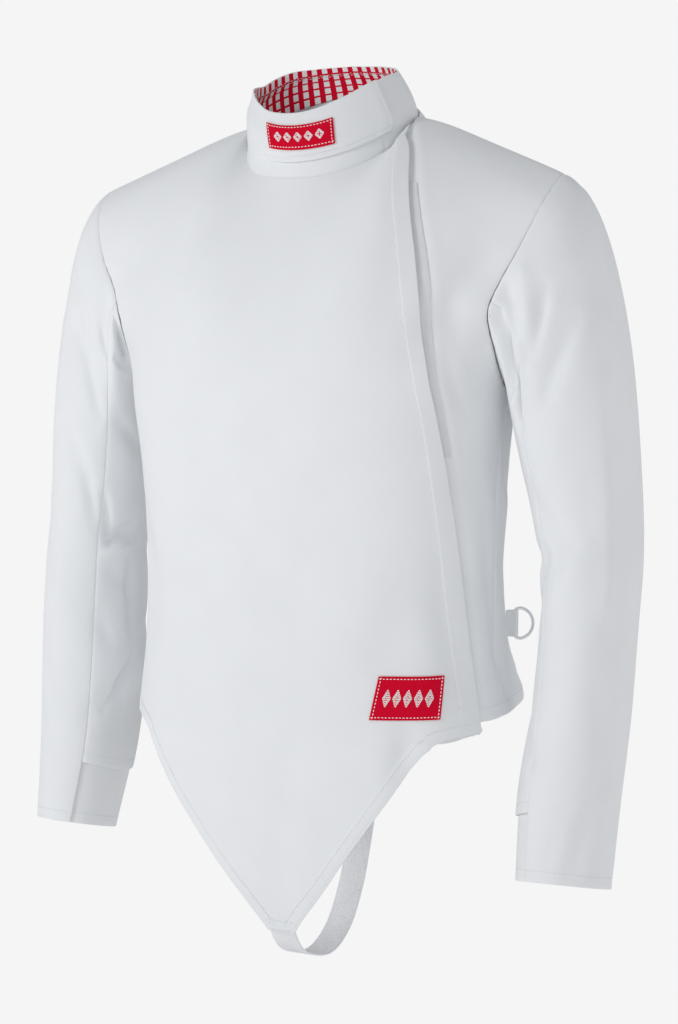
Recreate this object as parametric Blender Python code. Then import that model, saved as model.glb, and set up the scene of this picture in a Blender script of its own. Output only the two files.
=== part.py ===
"""Fencing jacket, worn shape with no wearer, built panel by panel as the cloth is cut and sewn.

Lengths are millimetres until a mesh is made. +X is the wearer's left, -Y the front, +Z up.
The origin is level with the tops of the shoulders, in the middle of the neck.
"""
import math

import bpy
import numpy as np

MM = 0.001

# Driving dimensions
CLOTH = 2.0                # wall of the body and sleeve panels
BAND_RISE = 0.8            # the closing edge is folded over, so it stands proud
SEAM_GAP = 0.3
SLEEVE_TRIM = 0.55         # sleeve edges stand back a little more, as the armholes are curved
LAP_DROP = 3.2             # how far the left front lies below the right front under the edge
CHEST_Z = -240.0           # level of the armpits
UNIT_DROP = 185.0          # millimetres for one unit of v below the chest line
TONGUE_Z = -736.0          # lowest point of the front tongue
SIDE_HEM_Z = -539.0
LEFT_HEM_Z = -535.0         # the left front is a little shorter
BACK_HEM_Z = -520.0
SLEEVE_RING_Z = -300.0     # below this level the sleeve is a row of rings
UNDER_HEM_Z = -613.0
UNDER_HEM_DROP = 6.0       # its middle hangs lower
CUFF_Z = -672.0
CUFF_INSET = 2.8
CUFF_TUCK = 8.0            # the cuff piece runs up under the hem of the under sleeve
COLLAR_WALL = 3.2          # several layers of cloth
LINING_WALL = 1.2
FLAP_WALL = 1.8
PATCH_WALL = 0.9
LAYER_GAP = 0.45
TAPE_GAP = 0.75            # the zip tape bridges a step in the cloth, so it stands off more
COLLAR_INSET = 1.0         # the stand's foot sits just inside the neck edge
FLAP_LOW = 0.26            # height of the flap's lower edge, as a share of the collar
STRAP_WIDTH = 25.0
STRAP_WALL = 1.6
RING_WIRE = 2.8
RING_HEIGHT = 31.0
RING_DEPTH = 16.5          # from the middle of the bar to the middle of the bow
RING_CLEAR = 0.35
TAB_WALL = 1.2
TAB_HEIGHT = 23.5
TAB_LENGTH = 7.5           # from the cloth to the middle of the bar
TAB_TURN = 104.0           # degrees round the body from the front centre
TAB_Z = -458.0
SEAT_GAP = 0.5             # from the tab's root to the cloth, which curves under it
SHOULDER_TIP = np.array([231.0, 10.0, -54.0])
NECK_SHARE = 40.0          # degrees of the body grid that the neck takes on each side
SHOULDER_TURN = 98.0       # place of the shoulder seam round the neck

NECK = {"cx": 11.5, "cy": 4.0, "half_width": 80.5, "front": 79.0, "back": 58.0,
        "z_front": -57.0, "tilt": 0.60}

RIM = {"cx": -1.5, "cy": 5.0, "half_width": 71.0, "front": 62.0, "back": 62.0}

RIM_HEIGHT = {"columns": ["turn", "z"], "rows": [
    (-180, 57), (-150, 56), (-130, 54), (-110, 47), (-95, 40), (-80, 37), (-60, 31), (-40, 17), (-20, 5),
    (0, 1), (20, 5), (40, 16), (60, 31), (80, 40), (95, 42), (110, 43), (130, 50), (150, 54), (180, 57),
]}

TORSO = {"columns": ["z", "half_width", "front", "back", "squareness"], "rows": [
    (-800, 156, 60, 96, 2.20),
    (-740, 166, 84, 112, 2.20),
    (-650, 182, 108, 130, 2.25),
    (-550, 184, 118, 136, 2.30),
    (-480, 177, 112, 122, 2.30),
    (-413, 174, 110, 104, 2.30),
    (-340, 177, 116, 106, 2.30),
    (-294, 178, 121, 109, 2.35),
    (-240, 183, 125, 113, 2.40),
]}

ARMHOLE = {"columns": ["turn", "body_turn", "x", "y", "z"], "rows": [
    (0, 90, 231, 10, -54),
    (20, 88, 231, -6, -60),
    (45, 81, 225, -31, -84),
    (70, 71.5, 210, -47, -122),
    (92, 64.5, 196, -52, -149),
    (115, 64.5, 187, -57, -175),
    (140, 74, 187, -40, -208),
    (160, 83, 185, -18, -231),
    (180, 90, 183, 1, -240),
    (200, 99, 184, 21, -234),
    (220, 108.5, 186, 44, -215),
    (245, 115, 184, 64, -186),
    (268, 115, 188, 74, -150),
    (290, 109, 202, 67, -114),
    (315, 100, 220, 46, -80),
    (340, 92.5, 230, 24, -59),
]}

SLEEVE = {"columns": ["z", "cx", "cy", "half_width", "half_depth", "lean", "twist", "front_lift"], "rows": [
    (-300, 246.5, 17, 50, 63, 4, 23, 0),
    (-350, 253, 17.5, 47, 60, 0, 23, 0),
    (-395, 258, 14, 45, 57, -3, 22, 0),
    (-442, 258.5, 11, 44, 58, -5.5, 21, 2),
    (-512, 256.5, 1.5, 45, 54.5, -6, 18, 5),
    (-599, 252, -17, 45, 50, -2, 15, 9),
    (-672, 253, -37, 41, 45, 4, 13, 12),
]}

CLOSING = {"columns": ["v", "turn"], "rows": [
    (-1.70, 77.5), (-1.30, 76.0), (-0.96, 73.6), (-0.57, 68.6), (-0.20, 63.0), (0.06, 58.0),
    (0.30, 51.0), (0.50, 47.3), (0.66, 45.2), (0.77, 43.5), (0.88, 40.0), (1.00, 35.0),
]}

BAND = {"columns": ["v", "turn"], "rows": [
    (-1.7, 6.6), (-1.1, 6.7), (-0.52, 5.8), (-0.05, 4.7), (0.43, 4.4), (0.7, 5.6), (1.0, 6.0),
]}

UNDERLAP = {"columns": ["v", "turn"], "rows": [(-1.7, 7.0), (0.0, 9.0), (0.8, 8.0), (1.0, 3.0)]}

TONGUE = {"columns": ["z", "right_turn", "left_turn"], "rows": [
    (-539, -90, 77.4),
    (-545, -82, 76),
    (-549, -70, 65),
    (-556, -61.5, 60.5),
    (-568, -57, 56.6),
    (-587, -52.3, 52.3),
    (-610, -46.8, 47.0),
    (-634, -40.8, 41.4),
    (-660, -34.2, 34.8),
    (-684, -27.6, 28.4),
    (-706, -20.4, 21.0),
    (-722, -14.4, 14.4),
    (-736, -9.0, 9.0),
]}

TONGUE_LEVELS = (-543, -547, -551, -557, -568, -584, -604, -628, -656, -682, -706, -724)

FLAP_END = {"columns": ["height", "turn"], "rows": [
    (0.26, 65.5), (0.34, 68), (0.55, 67.5), (0.75, 66.5), (1.0, 65.5),
]}

STRAP = {"columns": ["along", "y", "z"], "rows": [
    (0.00, -89.0, -716),
    (0.05, -82.6, -736),
    (0.11, -66, -757),
    (0.18, -36, -771),
    (0.26, -2, -776),
    (0.35, 34, -761),
    (0.43, 57, -734),
    (0.54, 77, -692),
    (0.66, 95, -640),
    (0.81, 110.5, -580),
    (0.89, 121.5, -548),
    (0.94, 126.6, -524),
    (1.00, 123.8, -500),
]}

# Largest folds: each runs from one (turn, z) to another; a depth below 0 is a ridge
SLEEVE_FOLDS = {"columns": ["turn", "z", "to_turn", "to_z", "width", "depth"], "rows": [
    (96, -158, 106, -226, 9, 4.0),
    (66, -178, 104, -250, 10, 3.6),
    (48, -150, 84, -280, 12, 3.2),
    (36, -185, 34, -350, 14, -3.0),
    (268, -160, 256, -235, 11, 3.6),
    (300, -190, 262, -270, 12, 3.0),
    (112, -384, 172, -396, 10, 3.2),
    (128, -428, 176, -452, 10, 2.8),
    (104, -562, 152, -524, 9, 2.4),
    (238, -408, 292, -430, 12, 2.6),
    (250, -470, 200, -500, 11, 2.2),
]}

BODY_FOLDS = {"columns": ["turn", "z", "to_turn", "to_z", "width", "depth"], "rows": [
    (66, -105, 54, -205, 15, 4.0),
    (66, -395, 71, -505, 15, 3.0),
    (-72, -300, -60, -440, 18, 2.6),
    (84, -280, 96, -400, 15, 3.2),
    (-84, -285, -100, -410, 15, 3.2),
    (150, -330, 162, -480, 18, 3.6),
    (-154, -340, -166, -470, 18, 3.4),
    (118, -250, 140, -400, 18, 3.0),
    (-118, -250, -138, -390, 18, 3.0),
    (109, -506, 114, -545, 22, -10.0),
]}
SLEEVE_SPAN = 0.9          # millimetres for a degree round a sleeve
BODY_SPAN = 2.7            # and round the body

WHITE = (0.80, 0.82, 0.85)
RED = (0.62, 0.01, 0.03)
GREY = (0.62, 0.63, 0.65)


def ease(t):
    t = np.clip(t, 0.0, 1.0)
    return t * t * (3.0 - 2.0 * t)


def along(table, name, at):
    """Smooth value of a table's column at a place given in its first column."""
    rows = np.array(sorted(table["rows"]), float)
    x, y = rows[:, 0], rows[:, table["columns"].index(name)]
    if table is ARMHOLE:
        x = np.concatenate([x[-2:] - 360.0, x, x[:2] + 360.0])
        y = np.concatenate([y[-2:], y, y[:2]])
    step = np.diff(x)
    rise = np.diff(y) / step
    slope = np.empty_like(y)
    slope[1:-1] = (rise[:-1] * step[1:] + rise[1:] * step[:-1]) / (step[:-1] + step[1:])
    slope[0], slope[-1] = rise[0], rise[-1]
    at = np.clip(np.asarray(at, float), x[0], x[-1])
    k = np.clip(np.searchsorted(x, at, side="right") - 1, 0, len(x) - 2)
    d = step[k]
    t = (at - x[k]) / d
    return ((1 + 2 * t) * (1 - t) ** 2 * y[k] + t * (1 - t) ** 2 * d * slope[k]
            + t * t * (3 - 2 * t) * y[k + 1] + t * t * (t - 1) * d * slope[k + 1])


def hermite(t, p0, m0, p1, m1):
    return ((1 + 2 * t) * (1 - t) ** 2 * p0 + t * (1 - t) ** 2 * m0
            + t * t * (3 - 2 * t) * p1 + t * t * (t - 1) * m1)


def unit(v):
    return v / np.maximum(np.linalg.norm(v, axis=-1, keepdims=True), 1e-9)


def body_ring(turn, z):
    """Level section of the body; turn in radians from the front centre to the wearer's left."""
    a, n = along(TORSO, "half_width", z), along(TORSO, "squareness", z)
    c, s = np.cos(turn), np.sin(turn)
    b = np.where(c > 0, along(TORSO, "front", z), along(TORSO, "back", z))
    r = (np.abs(s / a) ** n + np.abs(c / b) ** n) ** (-1.0 / n)
    return np.stack([r * s, -r * c, z + 0 * turn], -1)


def neck_ring(turn):
    c = np.cos(turn)
    x = NECK["cx"] + NECK["half_width"] * np.sin(turn)
    y = NECK["cy"] - np.where(c > 0, NECK["front"], NECK["back"]) * c
    z = NECK["z_front"] + NECK["tilt"] * (y - NECK["cy"] + NECK["front"])
    return np.stack([x, y, z], -1)


def rim_ring(turn):
    c = np.cos(turn)
    x = RIM["cx"] + RIM["half_width"] * np.sin(turn)
    y = RIM["cy"] - np.where(c > 0, RIM["front"], RIM["back"]) * c
    around = np.degrees(np.arctan2(np.sin(turn), c))
    return np.stack([x, y, along(RIM_HEIGHT, "z", around)], -1)


def fold_depth(folds, span, turn, z):
    """Depth of the folds of one table at places given by degrees round and by height."""
    depth = 0.0
    for start, z0, end, z1, width, deep in folds["rows"]:
        line = np.array([(end - start) * span, z1 - z0])
        across, down = (turn - start) * span, z - z0
        t = np.clip((across * line[0] + down * line[1]) / line.dot(line), 0, 1)
        away = np.hypot(across - t * line[0], down - t * line[1])
        depth = depth + deep * (0.55 + 0.45 * np.sin(math.pi * t)) * np.exp(-(away / width) ** 2)
    return depth


def split_turn(turn):
    """Side, whether it is in front, and the angle from the nearer of front and back centre."""
    side = np.where(turn < 0, -1.0, 1.0)
    in_front = np.abs(turn) <= math.pi / 2
    return side, in_front, np.where(in_front, np.abs(turn), math.pi - np.abs(turn))


def top_edge(turn):
    """Neck seam and shoulder seams, one point for each turn of the body grid."""
    side, in_front, g = split_turn(turn)
    share, meet = math.radians(NECK_SHARE), math.radians(SHOULDER_TURN)
    t = np.clip(g / share, 0, 1)
    at_neck = neck_ring(side * np.where(in_front, meet * t, math.pi - (math.pi - meet) * t))
    start = neck_ring(side * meet)
    tip = SHOULDER_TIP * np.stack([side, np.ones_like(side), np.ones_like(side)], -1)
    w = np.clip((g - share) / (math.pi / 2 - share), 0, 1)[..., None]
    seam = start + (tip - start) * w
    seam[..., 2] += 4.0 * np.sin(math.pi * w[..., 0])
    return np.where((g <= share)[..., None], at_neck, seam)


def top_heading(turn):
    """Way in which the cloth runs as it comes up to the top edge."""
    _, in_front, g = split_turn(turn)
    w = ease(g / math.radians(NECK_SHARE))[..., None]
    front = in_front[..., None]
    centre = np.where(front, np.array([0.0, 0.42, 0.90]), np.array([0.0, -0.30, 0.95]))
    ridge = np.where(front, np.array([0.0, 1.0, 0.10]), np.array([0.0, -1.0, 0.10]))
    return unit(centre * (1 - w) + ridge * w)


def plain_torso(turn, v):
    """Body without its armholes: v below 0 goes down the rings, 0 to 1 up to the top edge."""
    low = body_ring(turn, CHEST_Z + UNIT_DROP * np.minimum(v, 0))
    chest = body_ring(turn, CHEST_Z + 0 * turn)
    rise = (chest - body_ring(turn, CHEST_Z - 12.0 + 0 * turn)) / 12.0
    t = np.clip(v, 0, 1)
    spread = math.radians(58.0) * (1 - t) * t
    top, heading = 0, 0
    for offset, share in ((-1.0, 0.12), (-0.5, 0.22), (0.0, 0.32), (0.5, 0.22), (1.0, 0.12)):
        near = np.clip(turn + offset * spread, -math.pi, math.pi)
        top = top + share * top_edge(near)
        heading = heading + share * top_heading(near)
    reach = np.linalg.norm(top_edge(turn) - chest, axis=-1, keepdims=True)
    w = ease(split_turn(turn)[2] / math.radians(NECK_SHARE))[..., None]
    up = hermite(t[..., None], chest, rise * reach * (0.95 + 0.15 * w),
                 top, heading * reach * (0.75 + 0.30 * w))
    return np.where((v <= 0)[..., None], low, up)


def armhole(turn):
    """Point of the left armhole: 0 at the shoulder tip, 90 degrees in front, 180 at the armpit."""
    deg = np.mod(np.degrees(turn), 360.0)
    return np.stack([along(ARMHOLE, k, deg) for k in ("x", "y", "z")], -1)


def armhole_body_turn(turn):
    return np.radians(along(ARMHOLE, "body_turn", np.mod(np.degrees(turn), 360.0)))


def level_to_turn(v, in_front=True):
    turn = np.arccos(np.clip(2 * v - 1, -1, 1))
    return turn if in_front else 2 * math.pi - turn


def torso(turn, v):
    """Outer surface of the body panels, led to the armholes at its sides."""
    turn, v = np.broadcast_arrays(np.asarray(turn, float), np.asarray(v, float))
    p = plain_torso(turn, v)
    vv = np.clip(v, 0, 1)
    side, in_front, _ = split_turn(turn)
    for front in (True, False):
        around = level_to_turn(vv, front)
        edge = armhole_body_turn(around)
        hole = armhole(around)
        for sign in (1.0, -1.0):
            shift = hole * np.array([sign, 1.0, 1.0]) - plain_torso(sign * edge, vv)
            g = np.abs(turn) / edge if front else (math.pi - np.abs(turn)) / (math.pi - edge)
            use = (in_front == front) & (side == sign) & (v > 0)
            pull = np.clip(g, 0, 1) ** (4 + 6 * (1 - vv) ** 6)
            p = p + np.where(use, pull, 0.0)[..., None] * shift
    side_share = np.abs(turn) / armhole_body_turn(level_to_turn(vv))
    back_share = (math.pi - np.abs(turn)) / (math.pi - armhole_body_turn(level_to_turn(vv, False)))
    near_hole = np.where(in_front, side_share, back_share)
    calm = np.where(v > 0, ease((1 - near_hole) * 6) * ease((1 - v) * 5), 1.0)
    depth = fold_depth(BODY_FOLDS, BODY_SPAN, np.degrees(turn), p[..., 2]) * calm
    outward = unit(p * np.array([0.45, 1.0, 0.0]))
    return p - outward * depth[..., None]


def sleeve_ring(turn, z):
    a, b = along(SLEEVE, "half_width", z), along(SLEEVE, "half_depth", z)
    around = turn + np.radians(along(SLEEVE, "twist", z)) * np.sin(turn)
    x = along(SLEEVE, "cx", z) + a * np.cos(around)
    y = along(SLEEVE, "cy", z) - b * np.sin(around) + along(SLEEVE, "lean", z) * np.cos(around)
    return np.stack([x, y, z + along(SLEEVE, "front_lift", z) * np.sin(around)], -1)


def sleeve(turn, g):
    """Left sleeve: g 0 to 1 from the armhole to the first ring, then levels down as 1 + mm."""
    turn, g = np.broadcast_arrays(np.asarray(turn, float), np.asarray(g, float))
    start, ring = armhole(turn), sleeve_ring(turn, SLEEVE_RING_Z + 0 * turn)
    down = (sleeve_ring(turn, SLEEVE_RING_Z - 12.0 + 0 * turn) - ring) / 12.0
    c, s = np.cos(turn), np.sin(turn)
    top = (1 + c) / 2
    leave_x = 40 + 95 * top ** 0.8 - 45 * np.maximum(s, 0) ** 2
    leave = np.stack([leave_x, -26.0 * s, -45 - 15 * top], -1)
    drop = np.linalg.norm(start - ring, axis=-1, keepdims=True)
    cap = hermite(np.clip(g, 0, 1)[..., None], start, leave, ring, down * drop * 1.2)
    low = sleeve_ring(turn, SLEEVE_RING_Z - np.maximum(g - 1, 0))
    p = np.where((g <= 1)[..., None], cap, low)
    degrees = np.mod(np.degrees(turn), 360.0)
    depth = fold_depth(SLEEVE_FOLDS, SLEEVE_SPAN, degrees, p[..., 2]) * ease(g * 6)
    z = np.minimum(p[..., 2], SLEEVE_RING_Z)
    axis = np.stack([along(SLEEVE, "cx", z), along(SLEEVE, "cy", z), p[..., 2]], -1)
    return p - unit(p - axis) * depth[..., None]


def collar(turn, height):
    """Outer face of the collar stand: height 0 at the neck seam, 1 at the rim."""
    turn, height = np.broadcast_arrays(np.asarray(turn, float), np.asarray(height, float))
    low, high = neck_ring(turn), rim_ring(turn)
    p = low + (high - low) * height[..., None]
    out = unit(np.stack([np.sin(turn), -np.cos(turn), 0.2 + 0 * turn], -1))
    return p + out * (1.8 * np.sin(math.pi * height) - COLLAR_INSET * (1 - height) ** 4)[..., None]


def grid_normals(p, ring=False):
    """Normals of a grid whose rows run down and whose columns run to the wearer's left."""
    down = np.gradient(p, axis=0)
    if ring:
        across = np.roll(p, -1, axis=1) - np.roll(p, 1, axis=1)
    else:
        across = np.gradient(p, axis=1)
    return unit(np.cross(down, across))


def moved_out(p, distance, ring=False):
    return p + grid_normals(p, ring) * np.asarray(distance, float)[..., None]


def rim_index(rows, cols):
    """Outline of a grid as one loop of index pairs."""
    loop = [(0, c) for c in range(cols)] + [(r, cols - 1) for r in range(1, rows)]
    loop += [(rows - 1, c) for c in range(cols - 2, -1, -1)] + [(r, 0) for r in range(rows - 2, 0, -1)]
    return loop


def trimmed(p, amount):
    """The grid with its outline drawn in by half a seam gap."""
    rows, cols = p.shape[:2]
    loop = rim_index(rows, cols)
    q = p.copy()
    for k, (r, c) in enumerate(loop):
        before, after = p[loop[k - 1]], p[loop[(k + 1) % len(loop)]]
        runs = unit(after - before)
        inner = p[min(max(r, 1), rows - 2), min(max(c, 1), cols - 2)]
        into = inner - p[r, c]
        into = into - runs * np.dot(into, runs)
        q[r, c] = p[r, c] + unit(into) * amount
    return q


def make_material(name, colour, roughness, metallic=0.0):
    material = bpy.data.materials.new(name)
    material.use_nodes = True
    shader = material.node_tree.nodes["Principled BSDF"]
    shader.inputs["Base Color"].default_value = (*colour, 1.0)
    shader.inputs["Roughness"].default_value = roughness
    shader.inputs["Metallic"].default_value = metallic
    return material


def make_object(name, points, faces, colour, roughness=0.85, metallic=0.0, at=(0.0, 0.0, 0.0)):
    mesh = bpy.data.meshes.new(name)
    place = np.asarray(at, float)
    mesh.from_pydata([tuple((q - place) * MM) for q in points], [], faces)
    mesh.validate()
    mesh.shade_smooth()
    mesh.set_sharp_from_angle(angle=math.radians(40))
    mesh.materials.append(make_material(name, colour, roughness, metallic))
    made = bpy.data.objects.new(name, mesh)
    made.location = tuple(place * MM)
    bpy.context.scene.collection.objects.link(made)
    return made


def shell_faces(rows, cols, ring=False):
    """Faces of a wall: outer grid first, inner grid after it, and the rims between them."""
    inner = rows * cols
    faces = []
    span = cols if ring else cols - 1
    for r in range(rows - 1):
        for c in range(span):
            d = (c + 1) % cols
            quad = (r * cols + c, r * cols + d, (r + 1) * cols + d, (r + 1) * cols + c)
            faces.append(quad[::-1])
            faces.append(tuple(i + inner for i in quad))
    edges = []
    for c in range(span):
        d = (c + 1) % cols
        edges.append((c, d))
        edges.append(((rows - 1) * cols + d, (rows - 1) * cols + c))
    if not ring:
        for r in range(rows - 1):
            edges.append(((r + 1) * cols, r * cols))
            edges.append((r * cols + cols - 1, (r + 1) * cols + cols - 1))
    faces += [(i, j, j + inner, i + inner) for i, j in edges]
    return faces


def make_wall(name, outer, wall, colour=WHITE, ring=False, inward=None, **look):
    """A closed wall of cloth under an outer grid of points."""
    rows, cols = outer.shape[:2]
    into = -grid_normals(outer, ring) if inward is None else inward
    inside = outer + into * np.asarray(wall, float).reshape(-1, 1, 1)
    points = np.concatenate([outer.reshape(-1, 3), inside.reshape(-1, 3)])
    return make_object(name, points, shell_faces(rows, cols, ring), colour, **look)


def make_sewn(panels, raised):
    """Walls of the body and sleeves: edges that meet share one direction through the cloth."""
    shared = {}
    normals = {name: grid_normals(p) for name, p in panels.items()}
    for name, p in panels.items():
        family = name.split("_")[0] == "sleeve"
        for r, c in rim_index(*p.shape[:2]):
            key = tuple(np.round(p[r, c] * 20).astype(int))
            shared.setdefault(key, []).append((family, name, r, c))
    through = {name: n.copy() for name, n in normals.items()}
    for places in shared.values():
        sides = {}
        for family, name, r, c in places:
            sides.setdefault(family, []).append(normals[name][r, c])
        mean = unit(sum(unit(sum(side)) for side in sides.values()))
        for _, name, r, c in places:
            lean = max(0.75, float(np.dot(mean, normals[name][r, c])))
            through[name][r, c] = mean / lean
    for name, p in panels.items():
        trim = SLEEVE_TRIM if name.startswith("sleeve") else SEAM_GAP / 2
        rise = raised.get(name, np.zeros(p.shape[:2]))[..., None]
        inside = trimmed(p, trim)
        outer = inside + normals[name] * rise
        thickness = outer - inside + through[name] * CLOTH
        make_wall(name, outer, 1.0, inward=-thickness)


def body_rows():
    """Levels from the top edge to the chest, spaced as the sleeve's columns are."""
    return (1 + np.cos(np.radians(np.arange(0, 181, 15)))) / 2


def closing_turn(v):
    return np.radians(along(CLOSING, "turn", v))


def band_turn(v):
    return np.radians(along(BAND, "turn", v))


def wrap_columns(v, edge):
    """Turns of the right front: shoulder, neck and front in even steps, then the closing band."""
    top_start = closing_turn(1.0) - band_turn(1.0)
    neck = -math.radians(NECK_SHARE)
    at_top = np.concatenate([np.linspace(-math.pi / 2, neck, 9), np.linspace(neck, top_start, 13)[1:]])
    share = (at_top + math.pi / 2) / (top_start + math.pi / 2)
    close, width = closing_turn(v), band_turn(v)
    band = close - width * np.array([0.93, 0.62, 0.31, 0.0])
    return np.concatenate([edge + (close - width - edge) * share, band])


def lower_levels(hem=SIDE_HEM_Z):
    return np.linspace(CHEST_Z, hem, 11)[1:]


def front_right_grid():
    rows = [torso(wrap_columns(v, -armhole_body_turn(level_to_turn(v))), v) for v in body_rows()]
    for z in lower_levels():
        v = (z - CHEST_Z) / UNIT_DROP
        columns = wrap_columns(v, -math.pi / 2)
        rows.append(torso(columns, v))
    share = (columns - columns[0]) / (columns[-1] - columns[0])
    for z in TONGUE_LEVELS + (TONGUE_Z,):
        right = math.radians(along(TONGUE, "right_turn", z))
        left = math.radians(along(TONGUE, "left_turn", z))
        rows.append(torso(right + (left - right) * share, (z - CHEST_Z) / UNIT_DROP))
    return np.array(rows)


def band_rise(grid):
    """How far the outer points of the closing band stand proud of the right front."""
    rise = np.zeros(grid.shape[:2])
    last = len(body_rows()) + len(lower_levels())
    rise[2:last - 1, -4:] = BAND_RISE
    return rise


def lap_columns(v, last):
    """Turns of the left front: under the edge, down the step beside it, then out to its side."""
    close, lap = closing_turn(v), np.radians(along(UNDERLAP, "turn", v))
    slope = close + np.radians([1.0, 3.0])
    brow = close + math.radians(5.0)
    return np.concatenate([[close - lap, close - lap / 2], slope, np.linspace(brow, last, 9)])


def front_left_grid():
    rows = [torso(lap_columns(v, armhole_body_turn(level_to_turn(v))), v) for v in body_rows()]
    for z in lower_levels(LEFT_HEM_Z):
        v = (z - CHEST_Z) / UNIT_DROP
        rows.append(torso(lap_columns(v, math.pi / 2), v))
    grid = np.array(rows)
    sink = np.zeros(grid.shape[:2])
    sink[:, :3] = -LAP_DROP
    sink[:, 3] = -LAP_DROP / 2
    return moved_out(grid, sink)


def back_grid():
    spacing = np.concatenate([np.linspace(90, 140, 9), np.linspace(140, 220, 15)[1:],
                              np.linspace(220, 270, 9)[1:]])
    share = (spacing - 90.0) / 180.0
    rows = []
    for v in body_rows():
        edge = armhole_body_turn(level_to_turn(v, False))
        turn = edge + (2 * math.pi - 2 * edge) * share
        rows.append(torso(np.where(turn > math.pi, turn - 2 * math.pi, turn), v))
    turn = math.pi / 2 + math.pi * share
    turn = np.where(turn > math.pi, turn - 2 * math.pi, turn)
    side_hem = LEFT_HEM_Z + (SIDE_HEM_Z - LEFT_HEM_Z) * share
    hem = side_hem + (BACK_HEM_Z - side_hem) * ease(np.abs(np.sin(math.pi * share)) * 1.2)
    for t in np.linspace(0, 1, 11)[1:]:
        z = CHEST_Z + (hem - CHEST_Z) * t
        rows.append(torso(turn, (z - CHEST_Z) / UNIT_DROP))
    return np.array(rows)


def mirrored(grid):
    """The same piece on the wearer's right; the columns turn round so that faces stay outward."""
    return (grid * np.array([-1.0, 1.0, 1.0]))[:, ::-1]


def sleeve_grid(first, last, end_z, drop=0.0):
    """Rows from the armhole down; the last one hangs lower in its middle by the drop."""
    turns = np.radians(np.arange(first, last - 1, -15))
    levels = [z for z in sleeve_levels() if z >= end_z]
    rows = list(np.linspace(0, 1, 8)) + [1 + SLEEVE_RING_Z - z for z in levels]
    rows[-1] = rows[-1] + drop * np.sin(math.pi * np.linspace(0, 1, len(turns)))
    return np.array([sleeve(turns, g) for g in rows])


def sleeve_levels():
    upper = np.linspace(SLEEVE_RING_Z, UNDER_HEM_Z, 9)[1:]
    return np.concatenate([upper, np.linspace(UNDER_HEM_Z, CUFF_Z, 3)[1:]])


def cuff_grid():
    turns = np.radians(np.concatenate([[258], np.arange(255, 104, -15), [102]]))
    levels = 1 + (SLEEVE_RING_Z - np.linspace(UNDER_HEM_Z + CUFF_TUCK, CUFF_Z, 4))
    grid = np.array([sleeve(turns, g) for g in levels])
    return moved_out(grid, -(CUFF_INSET + 0 * grid[..., 0]))


def on_body(turn, z):
    return torso(np.asarray(turn, float), (np.asarray(z, float) - CHEST_Z) / UNIT_DROP)


def make_body_and_sleeves():
    top = sleeve_grid(105, -105, CUFF_Z)
    under = sleeve_grid(255, 105, UNDER_HEM_Z, UNDER_HEM_DROP)
    right_front, left_front = front_right_grid(), front_left_grid()
    make_sewn({
        "front_right": right_front,
        "front_left": left_front,
        "back": back_grid(),
        "sleeve_left_top": top,
        "sleeve_left_under": under,
        "sleeve_right_top": mirrored(top),
        "sleeve_right_under": mirrored(under),
    }, {"front_right": band_rise(right_front)})
    make_zip_tape(left_front)
    cuff = cuff_grid()
    make_wall("cuff_left", cuff, CLOTH)
    make_wall("cuff_right", mirrored(cuff), CLOTH)


def make_collar():
    slit = math.radians(60.0)
    turns = slit + np.linspace(0.004, 2 * math.pi - 0.004, 45)
    heights = np.array([1.0, 0.78, 0.52, 0.26, 0.015])[:, None]
    stand = collar(turns[None, :], heights)
    make_wall("collar_stand", stand, COLLAR_WALL)
    lining_heights = np.array([0.97, 0.7, 0.4, 0.06])[:, None]
    lining = moved_out(collar(turns[None, :], lining_heights), -(COLLAR_WALL + LAYER_GAP) + 0 * lining_heights)
    make_wall("collar_lining", lining, LINING_WALL, RED)
    rows = []
    for height in (1.0, 0.85, 0.7, 0.55, 0.4, 0.3, FLAP_LOW):
        end = math.radians(along(FLAP_END, "turn", height))
        rows.append(collar(np.linspace(math.radians(-38), end, 17), height))
    bare = np.array(rows)
    flap = moved_out(bare, LAYER_GAP + FLAP_WALL + 0 * bare[..., 0])
    make_wall("collar_flap", flap, FLAP_WALL)
    share, level = np.linspace(0, 1, 8)[None, :], np.linspace(0, 1, 4)[:, None]
    left, right = -21.0 + 3.5 * level, 29.0 - level
    patch = collar(np.radians(left + (right - left) * share), 0.81 - 0.04 * share - 0.37 * level)
    lift = LAYER_GAP + FLAP_WALL + LAYER_GAP + PATCH_WALL
    make_wall("collar_label", moved_out(patch, lift + 0 * patch[..., 0]), PATCH_WALL, RED)


def make_patches():
    share, level = np.linspace(0, 1, 6)[None, :], np.linspace(0, 1, 4)[:, None]
    left = 47.0 - 3.6 * level
    right = 66.5 - 2.4 * level
    patch = on_body(np.radians(left + (right - left) * share), -491.5 - 37.0 * level + 0 * share)
    make_wall("hem_label", moved_out(patch, LAYER_GAP + PATCH_WALL + 0 * patch[..., 0]), PATCH_WALL, RED)


def make_zip_tape(left_front):
    """Tape of the closing zip, on the slope of the left front beside the closing edge."""
    foot, middle, brow = (left_front[4:15, c] for c in (2, 3, 4))
    tape = np.stack([foot + (middle - foot) * 0.12, middle, middle + (brow - middle) * 0.7], axis=1)
    make_wall("zip_tape", moved_out(tape, TAPE_GAP + PATCH_WALL + 0 * tape[..., 0]), PATCH_WALL, GREY)


def make_strap():
    """Elastic strap from the tongue's tip, between the legs, to the inside of the back hem."""
    share = np.linspace(0, 1, 33)
    y, z = along(STRAP, "y", share), along(STRAP, "z", share)
    across = np.linspace(-STRAP_WIDTH / 2, STRAP_WIDTH / 2, 3)
    grid = np.stack([np.broadcast_to(across[None, :], (33, 3)),
                     np.broadcast_to(y[:, None], (33, 3)),
                     np.broadcast_to(z[:, None], (33, 3))], -1)
    make_wall("crotch_strap", grid, STRAP_WALL)


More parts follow.
